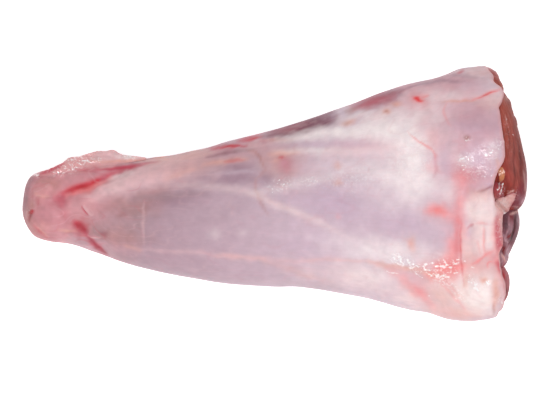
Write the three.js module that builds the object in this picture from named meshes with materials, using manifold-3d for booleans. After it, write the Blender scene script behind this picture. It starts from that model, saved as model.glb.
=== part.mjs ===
// A raw lamb shank lying on its flat side: a tapered leg of meat in its pale skin of sinew and fat.
// The hock's knuckle is at one end. At the other the leg is cut across, and lean muscle bulges out
// of the skin's cut edge. It is all one piece, so it is one solid.
// Millimetres: +X runs from the hock to the cut, +Y across the shank, +Z up from the board.
// Places are given as along (from the hock's tip), across (from the middle line) and up (from the board).

import * as THREE from "three";
import { LoftGeometry } from "three/addons/geometries/LoftGeometry.js";
import { mergeVertices } from "three/addons/utils/BufferGeometryUtils.js";
import Module from "manifold-3d";

// Driving dimensions
const CUT_ALONG = 187; // hock's tip to the skin's cut edge, on average
const HOCK_TIP = -1.3; // where the hock ends, past the place that the other places are measured from
const NOSE = 12; // length of the hock's rounded end
const NOSE_FULLNESS = 2.7; // superellipse power of that end, seen from above
const WIDEST_LEVEL = 0.42; // height of the widest level, as a share of the crown's height
const UPPER_FULLNESS = 2.35; // superellipse powers: 2 is an ellipse, more is squarer
const LOWER_FULLNESS = 2.3;
const CROWN_SKEW = 9; // how far the crown leans to the far side at the cut
const SUNK = 1; // how far the soft underside is pressed flat by the board
const CUT_LEAN = 7; // how much further the skin reaches at the board than at the crown
const RIM = 1.8; // thickness of the skin at its cut edge
const RECESS = 3.5; // depth of the crease between the skin's edge and the lean

// Mesh density
const ROWS_ALONG = 50;
const NOSE_ROWS = 7;
const COLUMNS = 64;
const UPPER_COLUMNS = 0.625; // share of the columns that go over the upper side
const FACE_ROWS = 18; // across the lean of the cut, from the skin to the middle
const FACE_SCALE = 0.9; // of the outermost of those rows

// Cross sections from the hock to the cut: the far and near edges, the crown's height, and how far the
// underside clears the board.
const SECTIONS = [
  { along: -2, far: 9.2, near: -18.4, crown: 27, lift: 2 },
  { along: 21, far: 10.6, near: -20.5, crown: 29, lift: 2.6 },
  { along: 38, far: 12.2, near: -26.3, crown: 31.5, lift: 3 },
  { along: 67, far: 16.9, near: -32.8, crown: 38, lift: 1 },
  { along: 80, far: 20.4, near: -34.6, crown: 41.3, lift: 0.2 },
  { along: 103, far: 26.2, near: -36.2, crown: 47, lift: 0 },
  { along: 138, far: 38, near: -42, crown: 55, lift: 0 },
  { along: 156, far: 43.5, near: -46.2, crown: 59, lift: 0 },
  { along: 173, far: 48, near: -49, crown: 62, lift: 0 },
  { along: 184, far: 48.4, near: -47.6, crown: 63, lift: 1 },
  { along: 193, far: 44, near: -41, crown: 61, lift: 4 },
];

// The skin's cut edge on the upper side: how far it reaches past its average, across the shank.
const CUT_EDGE = [
  { across: -50, reach: -6.5 },
  { across: -42, reach: 0.6 },
  { across: -22, reach: -1 },
  { across: -3, reach: -1.6 },
  { across: 11, reach: 3.4 },
  { across: 25, reach: 0.6 },
  { across: 37, reach: 1.6 },
  { across: 44, reach: -2.5 },
  { across: 50, reach: -7 },
];

// Soft lumps and hollows of the upper side: half sizes of each along and across, and its height.
const LUMPS = [
  { name: "upper knuckle", along: 11, across: 3, half: [7, 6], height: 1.6 },
  { name: "lower knuckle", along: 11, across: -10, half: [8, 7], height: 2 },
  { name: "knuckle saddle", along: 21, across: -10, half: [5, 5], height: -2.2 },
  { name: "calf belly", along: 90, across: -10, half: [38, 14], height: 2 },
  { name: "thigh bulge", along: 174, across: 18, half: [12, 13], height: 3.2 },
  { name: "fat block", along: 181, across: -19, half: [5, 13], height: 2.4 },
  { name: "fat knob", along: 179, across: -40, half: [11, 8], height: 4.5 },
];

// Tendons and seams of the upper side: a course of points (along, across), its width and its height.
const RIDGES = [
  { name: "main tendon", course: [[20, -1], [35, 3], [50, 7], [64, 10]], width: 7, height: 1.8 },
  { name: "far tendon", course: [[14, 7], [30, 10], [46, 12]], width: 6, height: 1.6 },
  { name: "tendon groove", course: [[16, -2], [23, 1], [31, 5], [38, 7]], width: 4.5, height: -3 },
  { name: "hock crease", course: [[21, -11], [25, -15], [31, -21]], width: 5, height: -1.8 },
  { name: "joint trough", course: [[169, 2], [170.5, -14], [172, -35]], width: 6, height: -2.6 },
  { name: "knob seam", course: [[139, -28], [156, -36], [161, -42]], width: 6, height: -1.4 },
];

// Bellies of lean muscle packed into the cut: centre and half size across and up, and how far each bulges.
const MUSCLES = [
  { name: "top strip", across: 46, up: 28, half: [7.5, 20], bulge: 4 },
  { name: "main belly", across: 3, up: 27, half: [28, 27], bulge: 13 },
  { name: "inner belly", across: -15, up: 24, half: [12, 22], bulge: 11 },
  { name: "knob strip", across: -36, up: 21, half: [9, 18], bulge: 6 },
];
const BELLY_DROP = 0.4; // how much of its bulge a belly has lost at its half size
const SEAM_DEPTH = 3; // of the creases between bellies
const SEAM_WIDTH = 0.24; // of those creases, as a share of a belly's half size
const SKIN_CREASE = 0.12; // width of the crease inside the skin's edge, as a share of the cut's half size

// The loose flap of sinew along the far side of the hock: how far it stands out of the meat.
const FLAP_EDGE = [
  { along: 11, reach: -1 },
  { along: 15, reach: 2.2 },
  { along: 20, reach: 4 },
  { along: 29, reach: 4.9 },
  { along: 36, reach: 5.2 },
  { along: 41, reach: 2.4 },
  { along: 52, reach: 1.2 },
  { along: 62, reach: -1 },
];
const FLAP_ROOT = 4; // how deep it starts in the meat
const FLAP_UP = 18;
const FLAP_THICKNESS = 3;
const FLAP_TILT = THREE.MathUtils.degToRad(22); // up from level
const FLAP_STEPS = 22;
const FLAP_SIDES = 10;

const wasm = await Module();
wasm.setup();

// A smooth value between the rows of a table, read at a place along its first column.
function interpolated(table, place, value) {
  return new THREE.CubicInterpolant(table.map((row) => row[place]), table.map((row) => row[value]), 1);
}

const farEdge = interpolated(SECTIONS, "along", "far");
const nearEdge = interpolated(SECTIONS, "along", "near");
const crownHeight = interpolated(SECTIONS, "along", "crown");
const undersideLift = interpolated(SECTIONS, "along", "lift");
const cutReach = interpolated(CUT_EDGE, "across", "reach");
const flapReach = interpolated(FLAP_EDGE, "along", "reach");

// A power that keeps the sign, for superellipses.
function signedPower(value, power) {
  return Math.sign(value) * Math.abs(value) ** power;
}

// A point of the plain leg at a place along it, at an angle that starts at the near edge and goes over
// the crown, and drawn in towards the leg's middle line.
function sectionPoint(along, angle, scale) {
  const far = farEdge.evaluate(along)[0];
  const near = nearEdge.evaluate(along)[0];
  const crown = crownHeight.evaluate(along)[0];
  const lift = Math.max(0, undersideLift.evaluate(along)[0]);
  const level = WIDEST_LEVEL * crown;
  const upper = Math.sin(angle) >= 0;
  const fullness = upper ? UPPER_FULLNESS : LOWER_FULLNESS;
  const rise = upper ? crown - level : level + SUNK - lift;
  const across = (far + near) / 2 - ((far - near) / 2) * scale * signedPower(Math.cos(angle), 2 / fullness);
  const up = level + rise * scale * signedPower(Math.sin(angle), 2 / fullness);
  const towardsCrown = Math.max(0, (up - level) / (crown - level));
  const skew = CROWN_SKEW * (along / CUT_ALONG) ** 2 * towardsCrown ** 2;
  return new THREE.Vector3(along, across + skew, Math.max(up, 0));
}

// The rings of the leg: the rounded hock, the leg itself, then over the skin's rim into the cut.
// toCut says how much of the cut's slant and waves a ring takes.
function legRings() {
  const rings = [];
  for (let i = 0; i < NOSE_ROWS; i++) {
    const turn = ((i / NOSE_ROWS) * Math.PI) / 2;
    const back = NOSE * (1 - signedPower(Math.cos(turn), 2 / NOSE_FULLNESS));
    rings.push({ along: HOCK_TIP + back, scale: signedPower(Math.sin(turn), 2 / NOSE_FULLNESS), toCut: 0 });
  }
  const start = HOCK_TIP + NOSE;
  for (let i = 0; i <= ROWS_ALONG; i++) {
    const share = i / ROWS_ALONG;
    rings.push({ along: start + (CUT_ALONG - RIM - start) * share, scale: 1, toCut: share ** 6 });
  }
  rings.push({ along: CUT_ALONG, scale: 0.98, toCut: 1 });
  rings.push({ along: CUT_ALONG - RIM / 2, scale: 0.94, toCut: 1 });
  for (let i = FACE_ROWS; i >= 0; i--) {
    rings.push({ along: CUT_ALONG - RECESS, scale: (FACE_SCALE * i) / FACE_ROWS, toCut: 1, lean: true });
  }
  return rings;
}

// Where a ring's point moves for the cut: the skin slants away to the board and its edge is uneven.
function cutShift(point, ring) {
  const share = point.z / crownHeight.evaluate(CUT_ALONG)[0];
  const across = THREE.MathUtils.clamp(point.y, CUT_EDGE[0].across, CUT_EDGE.at(-1).across);
  const waves = ring.scale ** 3 * cutReach.evaluate(across)[0];
  return ring.toCut * (CUT_LEAN * (0.5 - share) + waves * THREE.MathUtils.smoothstep(share, 0.1, 0.4));
}

// How far the lean stands out of the cut: bellies that press on each other, with a crease between them
// and inside the skin's edge.
function leanBulge(point, scale) {
  let weights = 0;
  let largest = 0;
  let bulge = 0;
  for (const muscle of MUSCLES) {
    const across = (point.y - muscle.across) / muscle.half[0];
    const up = (point.z - muscle.up) / muscle.half[1];
    const far = Math.hypot(across, up);
    const weight = Math.exp(-far / SEAM_WIDTH);
    weights += weight;
    largest = Math.max(largest, weight);
    bulge += weight * muscle.bulge * (1 - BELLY_DROP * far * far);
  }
  const seam = 2 * (1 - largest / weights);
  const clearOfSkin = THREE.MathUtils.smoothstep(FACE_SCALE - scale, 0, SKIN_CREASE);
  return clearOfSkin * (bulge / weights - SEAM_DEPTH * seam);
}

// Distance from a place on the upper side to a course of points, seen from above.
function distanceToCourse(along, across, course) {
  const place = new THREE.Vector3(along, across, 0);
  const nearest = new THREE.Vector3();
  let least = Infinity;
  for (let i = 1; i < course.length; i++) {
    const line = new THREE.Line3(new THREE.Vector3(...course[i - 1], 0), new THREE.Vector3(...course[i], 0));
    line.closestPointToPoint(place, true, nearest);
    least = Math.min(least, nearest.distanceTo(place));
  }
  return least;
}

// Height of the lumps and ridges at a place on the upper side.
function reliefAt(along, across) {
  let height = 0;
  for (const lump of LUMPS) {
    const far = ((along - lump.along) / lump.half[0]) ** 2 + ((across - lump.across) / lump.half[1]) ** 2;
    height += lump.height * Math.exp(-far);
  }
  for (const ridge of RIDGES) {
    const far = distanceToCourse(along, across, ridge.course) / (ridge.width / 2);
    height += ridge.height * Math.exp(-far * far);
  }
  return height;
}

// The leg in its skin: a sphere's rings and columns carried onto the leg, then raised by the relief.
function legGeometry() {
  const rings = legRings();
  const blank = new THREE.SphereGeometry(1, COLUMNS, rings.length - 1);
  const position = blank.getAttribute("position");
  const uv = blank.getAttribute("uv");
  for (let i = 0; i < position.count; i++) {
    const ring = rings[Math.round((1 - uv.getY(i)) * (rings.length - 1))];
    const column = Math.round(uv.getX(i) * COLUMNS) / COLUMNS;
    const upper = column / UPPER_COLUMNS;
    const lower = 1 + (column - UPPER_COLUMNS) / (1 - UPPER_COLUMNS);
    const point = sectionPoint(ring.along, Math.PI * (column < UPPER_COLUMNS ? upper : lower), ring.scale);
    point.x += cutShift(point, ring) + (ring.lean ? leanBulge(point, ring.scale) : 0);
    position.setXYZ(i, point.x, point.y, point.z);
  }
  const leg = closedGeometry(blank);
  leg.computeVertexNormals();
  const at = leg.getAttribute("position");
  const normal = leg.getAttribute("normal");
  for (let i = 0; i < at.count; i++) {
    const facesUp = THREE.MathUtils.smoothstep(normal.getZ(i), -0.1, 0.5);
    const raised = facesUp * reliefAt(at.getX(i), at.getY(i));
    at.setXYZ(
      i,
      at.getX(i) + raised * normal.getX(i),
      at.getY(i) + raised * normal.getY(i),
      at.getZ(i) + raised * normal.getZ(i),
    );
  }
  return leg;
}

// The flap of sinew: a thin strip with an uneven edge that follows the far side of the hock.
function flapGeometry() {
  const outwards = new THREE.Vector3(0, Math.cos(FLAP_TILT), Math.sin(FLAP_TILT));
  const upwards = new THREE.Vector3(0, -Math.sin(FLAP_TILT), Math.cos(FLAP_TILT));
  const [first, last] = [FLAP_EDGE[0].along, FLAP_EDGE.at(-1).along];
  const sections = [];
  for (let i = 0; i <= FLAP_STEPS; i++) {
    const along = THREE.MathUtils.lerp(first, last, i / FLAP_STEPS);
    const half = (FLAP_ROOT + flapReach.evaluate(along)[0]) / 2;
    const middle = new THREE.Vector3(along, farEdge.evaluate(along)[0], FLAP_UP);
    middle.addScaledVector(outwards, half - FLAP_ROOT);
    const ring = [];
    for (let k = 0; k < FLAP_SIDES; k++) {
      const angle = (2 * Math.PI * k) / FLAP_SIDES;
      const point = middle.clone();
      point.addScaledVector(outwards, half * Math.cos(angle));
      point.addScaledVector(upwards, (FLAP_THICKNESS / 2) * Math.sin(angle));
      ring.push(point);
    }
    sections.push(ring);
  }
  return closedGeometry(new LoftGeometry(sections, { capStart: true, capEnd: true }));
}

// A geometry with only its shared points left, so that its surface is closed.
function closedGeometry(geometry) {
  const bare = new THREE.BufferGeometry().copy(geometry);
  bare.deleteAttribute("normal");
  bare.deleteAttribute("uv");
  return mergeVertices(bare, 1e-3);
}

function solidOf(geometry) {
  return new wasm.Manifold(
    new wasm.Mesh({
      numProp: 3,
      vertProperties: new Float32Array(geometry.getAttribute("position").array),
      triVerts: new Uint32Array(geometry.index.array),
    }),
  );
}

// The whole shank, centred over the middle of the board that it lies on.
function shankGeometry() {
  const made = solidOf(legGeometry()).add(solidOf(flapGeometry())).getMesh();
  const geometry = new THREE.BufferGeometry();
  geometry.setAttribute("position", new THREE.BufferAttribute(made.vertProperties, made.numProp));
  geometry.setIndex(new THREE.BufferAttribute(made.triVerts, 1));
  geometry.computeBoundingBox();
  const middle = geometry.boundingBox.getCenter(new THREE.Vector3());
  geometry.translate(-middle.x, -middle.y, -geometry.boundingBox.min.z);
  geometry.computeVertexNormals();
  return geometry;
}

const skin = new THREE.MeshStandardMaterial({ color: 0xd6bac3, roughness: 0.42, metalness: 0 });
const shank = new THREE.Mesh(shankGeometry(), skin);
shank.name = "shank";

const part = new THREE.Group();
part.add(shank);

export default part;
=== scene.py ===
"""The looks of a raw lamb shank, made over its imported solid.

The sheath of silverskin, sinew and fat is cast over the solid and painted tissue by tissue. A thin flap of
sinew lies beside the hock, bellies of lean bulge out of the cut end, and a membrane hangs over them.
Lengths in the tables are millimetres.
Places on the upper side are given as a viewer above the board sees them: along from the hock, and across.
"""
import math

import bpy
import numpy as np
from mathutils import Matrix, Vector
from mathutils.bvhtree import BVHTree


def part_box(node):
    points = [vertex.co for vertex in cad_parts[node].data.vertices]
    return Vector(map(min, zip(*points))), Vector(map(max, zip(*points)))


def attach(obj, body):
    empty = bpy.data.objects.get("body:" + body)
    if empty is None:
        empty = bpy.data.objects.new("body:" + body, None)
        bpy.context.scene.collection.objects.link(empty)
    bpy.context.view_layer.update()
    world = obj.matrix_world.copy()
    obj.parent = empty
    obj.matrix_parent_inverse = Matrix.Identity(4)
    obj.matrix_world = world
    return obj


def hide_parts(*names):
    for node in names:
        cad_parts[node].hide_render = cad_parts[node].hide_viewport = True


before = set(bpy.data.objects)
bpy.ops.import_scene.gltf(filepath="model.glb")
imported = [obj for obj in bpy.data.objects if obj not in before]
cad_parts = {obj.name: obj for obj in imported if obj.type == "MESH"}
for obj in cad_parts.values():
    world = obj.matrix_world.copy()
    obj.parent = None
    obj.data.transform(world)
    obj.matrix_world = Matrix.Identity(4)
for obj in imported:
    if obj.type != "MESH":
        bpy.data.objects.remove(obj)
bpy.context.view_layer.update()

bl_info = {
    "name": "Raw Lamb Shank",
    "version": (1, 0, 0),
    "blender": (4, 5, 0),
    "location": "3D View > Sidebar > Shank",
    "description": "Makes a raw lamb shank over its packed solid, with a plain stage",
    "category": "Add Mesh",
}

MM = 0.001
SOLID_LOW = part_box("shank")[0] / MM

# The viewer, in mm. Seen places are measured on the level that the picture's scale was taken at.
EYE = Vector((2.1, -6.6, 1025.0))
SEEN_LEVEL = 25.0
SEEN_ZERO = SOLID_LOW.x + 0.86
PICTURE_WIDTH = 218.4

# Where the random draws of the sheath, its wet film, the lean and its wet film start
SHEATH_DRAWS = 100
WET_DRAWS = 400
LEAN_DRAWS = 500
LEAN_WET_DRAWS = 600

# Rows and columns of the sheath's mesh
NOSE_ROWS = 26
BODY_ROWS = 296
PAN_ROWS = 12
COLUMNS = 284
UPPER_COLUMNS = 234

# Share of the body's rows by the share of its length: closer at the hock and at the cut
ROW_PACE = ((0, 0), (0.30, 0.22), (0.62, 0.72), (1, 1))

# The sheath's own lengths, from the solid. The cut and the lean are measured from LEG_ZERO, in the knuckle.
LEG_ZERO = SOLID_LOW.x + 1.3
NOSE = 12.0
CUT = LEG_ZERO + 184.7
CUT_LEAN = 7.0
SECTION_BACK = 9.0
SKIN = 1.6
CROWN = 63.0
RAY_REACH = 90.0

# The leg's inner axis at the hock and at the cut: across, up
AXIS_HOCK = (-4.6, 12.0)
AXIS_CUT = (0.0, 26.0)

# How far the edge of the cut stands out or back, by the place across
CUT_EDGE = (
    (-50, -3.0), (-47, -0.6), (-44, 1.6), (-40, 3.0), (-36, 2.6), (-32, 1.9), (-28, 0.9), (-24, 0.4),
    (-20, -0.6), (-14, -0.7), (-8, -0.3), (-3, -1.4), (2, -1.6), (4, -1.4), (6, -0.8), (9, 0.4), (12, 2.1),
    (14, 2.8), (17, 3.1), (20, 2.6), (24, 1.6), (29, 0.7), (32, 0.5), (35, 1.6), (37, 2.3), (38.5, 1.6),
    (40, -0.3), (41.5, -1.5), (44, -2.0), (46, -3.2), (48, -4.7), (50, -6.0),
)

# How far the skin stands beyond the solid at its far and its near outline: along, then by how much.
FAR_FULLNESS = (
    (0, 0.5), (4, 0.2), (7, -1.0), (10, -0.4), (16, 0.2), (36, 0.3), (47, -0.8), (56, -0.5), (66, 0),
    (72, -0.5), (78, 0.2), (130, 0), (136, 0.6), (148, 0.4), (156, 0), (162, -0.7), (166, -0.7), (170, 0),
    (176, -0.3), (180, 1.0), (184, 2.2),
)
NEAR_FULLNESS = (
    (0, 0), (18, 0), (26, 0.8), (32, 0.8), (44, 1.2), (100, 1.2), (106, 0.2), (134, 0), (138, 0.5),
    (146, 1.0), (152, 0.8), (158, 0), (164, 0.7), (174, 1.0), (180, 0.8), (186, 1.8),
)

# The lip of the cut: steps past the edge as (along, inwards), plain and where a collar of sinew stays on.
LIP = ((0.5, -0.35), (0.7, -1.0), (0.5, -1.8), (-0.3, -2.6), (-1.2, -3.6))
COLLAR = ((0.8, -0.5), (2.0, -1.2), (3.2, -2.2), (3.2, -4.2), (0.5, -6.0))
COLLAR_ACROSS = (-25, -20, -8, -3)
COLLAR_FOOT = 30.0

# The flap of sinew beside the hock, as seen: where it joins the sheath, and its free rim.
FLAP_ROOT = (
    (6.5, 6.6), (9, 6.1), (12, 6.0), (16, 6.8), (20, 7.9), (25, 9.0), (30, 10.1), (36, 10.9), (42, 11.9),
    (48, 13.0),
)
FLAP_RIM = (
    (6.0, 7.6), (7.1, 7.7), (8.5, 8.3), (11, 9.5), (13.2, 10.5), (15.3, 11.4), (16.5, 12.4), (18.4, 13.8),
    (20.5, 13.9), (22.5, 14.2), (25, 15.2), (28, 16.2), (31, 16.6), (32.5, 16.3), (35.8, 16.9),
    (37.2, 16.2), (39, 14.8), (41.5, 14.6), (44.8, 14.3), (48.4, 13.7),
)
FLAP_STEPS = 260
FLAP_WIDTHS = 26

# The groove that blood fills is softer than the solid's: its course, and how much is smoothed within a reach.
SOFT_GROOVE = ((18, 0), (24, 2.4), (30, 4.6), (36, 6.8), (44, 9.6))
GROOVE_REACHES = ((8.0, 0.3), (6.5, 0.6), (5.0, 1.0))

# Rounds of smoothing over the skin, in that groove and on the ledge beside the hock
SKIN_ROUNDS = 56
GROOVE_ROUNDS = 320
LEDGE_ROUNDS = 36


def linear(code):
    """An sRGB hex colour as linear red, green and blue."""
    shares = [((code >> shift) & 255) / 255 for shift in (16, 8, 0)]
    return tuple(s / 12.92 if s <= 0.04045 else ((s + 0.055) / 1.055) ** 2.4 for s in shares)


def colour(name, description, code):
    """A colour that the user may change."""
    return bpy.props.FloatVectorProperty(
        name=name, description=description, subtype="COLOR", size=3, min=0, max=1, default=linear(code)
    )


def length(name, description, size):
    """A length that the user may change, given in mm and kept in metres."""
    return bpy.props.FloatProperty(
        name=name, description=description, subtype="DISTANCE", unit="LENGTH", default=size * MM
    )


class ShankTissues(bpy.types.PropertyGroup):
    """Colours of the sheath's tissues."""

    knuckle: colour("Knuckle", "Skin over the hock's knuckle", 0xCC8B93)
    pad: colour("Pad", "Paler pads of the hock", 0xDCA3A2)
    # Rim is painted shade along the edge of the nose, where it turns away from the light, and also the brown
    # of the nose's top.
    rim: colour("Rim", "Dried rim of the hock", 0x93707A)
    ankle: colour("Ankle", "Skin behind the knuckle", 0xCB949A)
    silverskin: colour("Silverskin", "Silverskin over the calf's lean", 0xB496A2)
    pale_silverskin: colour("Pale silverskin", "Thicker silverskin near the thigh", 0xCAB1BE)
    # Lilac also serves as painted shade at the foot of the thigh's step and in the block's crease.
    lilac: colour("Lilac", "Silverskin where dark lean shows through", 0xC4A8BC)
    # Fascia also paints the sheen on the thigh's bulge, a painted highlight.
    fascia: colour("Fascia", "White sheet of connective tissue", 0xF6E9E9)
    thigh: colour("Thigh", "Pink film over the thigh", 0xDBABB4)
    # Tendon also serves as painted light at the far edge of the calf.
    tendon: colour("Tendon", "Tendons and seams", 0xE2B8BC)
    # Fat also serves as painted light on the near wall of the hock's groove.
    fat: colour("Fat", "Fat of the block and the knob", 0xF5E6E4)
    cream: colour("Cream", "Thin fat along the near side", 0xEDD2D2)
    peach: colour("Peach", "Fat stained by blood", 0xE2A698)
    coral: colour("Coral", "Raw streaks in the fat", 0xEC8E8E)
    rose: colour("Rose", "Creases with blood in them", 0xC24C5E)
    blood: colour("Blood", "Blood in the grooves", 0xCC2432)
    fresh: colour("Fresh blood", "Bright blood in a small spot", 0xE61820)
    clot: colour("Clot", "Clotted blood in the deepest nicks", 0x8E2430)
    lean: colour("Lean", "Lean at the rim of the cut", 0xB4605C)
    # Maroon on the far side is partly dark lean and partly painted shade, where the far side turns from the
    # light.
    maroon: colour("Maroon", "Bare lean on the far side", 0x742A44)
    # Mauve also serves as painted shade: on the thigh's far slope, and under the ankle's tendon.
    mauve: colour("Mauve", "Lean under a thin film", 0x8F6A7C)
    # Grey also serves as painted shade: below the ankle's tendon, beside its crease, below the hollow and
    # along the near edge.
    grey: colour("Grey", "Dull patches of dried film", 0xA5888F)
    # Brown also serves as painted shade: in the hollows by the hock's pad, at the chin and below the ankle's
    # tendon.
    brown: colour("Brown", "Small stains", 0xB67E76)


class ShankSheath(bpy.types.PropertyGroup):
    """Sizes of the sheath."""

    wrinkle: length("Wrinkle", "Height of the wrinkles where the film is wet", 0.16)
    swell: length("Swell", "Height of the broad unevenness of the skin", 0.3)
    flap: length("Flap", "Thickness of the flap of sinew", 0.5)
    ripple: length("Ripple", "Height of the flap's ripples", 0.5)
    fibre: length("Fibre", "Width of the fine fibres along the leg", 0.9)
    mottle: length("Mottle", "Size of the cloudy patches in the skin", 4.5)
    scatter: length("Scatter", "How far light spreads under the skin", 1.6)


class ShankLean(bpy.types.PropertyGroup):
    """Sizes and colours of the lean at the cut."""

    red: colour("Red", "Freshly cut lean", 0x923C35)
    salmon: colour("Salmon", "Lean that has been in the air", 0xAC5A4E)
    dark: colour("Dark", "Lean in the shade and in the gaps", 0x3E1519)
    wine: colour("Wine", "Lean in the notch", 0xAA4C52)
    # Slate also serves as painted shadow in the slot beside the collar.
    slate: colour("Slate", "Lean between the films", 0x745058)
    purple: colour("Purple", "Lean away from the air", 0x7C303B)
    mauve: colour("Mauve", "Lean under a thin film", 0x8A5059)
    rosy: colour("Rosy", "Lean that is bled out", 0xB2666C)
    clot: colour("Clot", "Clotted blood between the bellies", 0x701418)
    bright: colour("Bright", "Blood along the skin's edge", 0xB23C42)
    film: colour("Film", "Membrane over the lean", 0xD9A6A0)
    veil: colour("Veil", "Grey film on the lean's edges", 0xBC929C)
    stained_fat: colour("Stained fat", "Bit of fat at the skin's edge", 0xC68058)
    bundle: length("Bundle", "Width of a bundle of fibres", 2.4)
    furrow: length("Furrow", "Depth of the furrows between bundles", 0.14)
    film_thickness: length("Film thickness", "Thickness of the membrane", 0.5)


class ShankStage(bpy.types.PropertyGroup):
    """The floor, the light and the camera."""

    floor: colour("Floor", "Colour of the floor", 0xFAFAFA)
    key_power: bpy.props.FloatProperty(
        name="Key power", description="Power of the softbox above the meat", unit="POWER", default=7.5
    )
    fill_power: bpy.props.FloatProperty(
        name="Fill power", description="Power of the large softbox on the near side", unit="POWER",
        default=2.0
    )
    glint_power: bpy.props.FloatProperty(
        name="Glint power", description="Power of the small low lamp that makes wet film glint", unit="POWER",
        default=0.9
    )
    room_light: bpy.props.FloatProperty(
        name="Room light", description="Strength of the even light all round", default=0.3
    )


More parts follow.
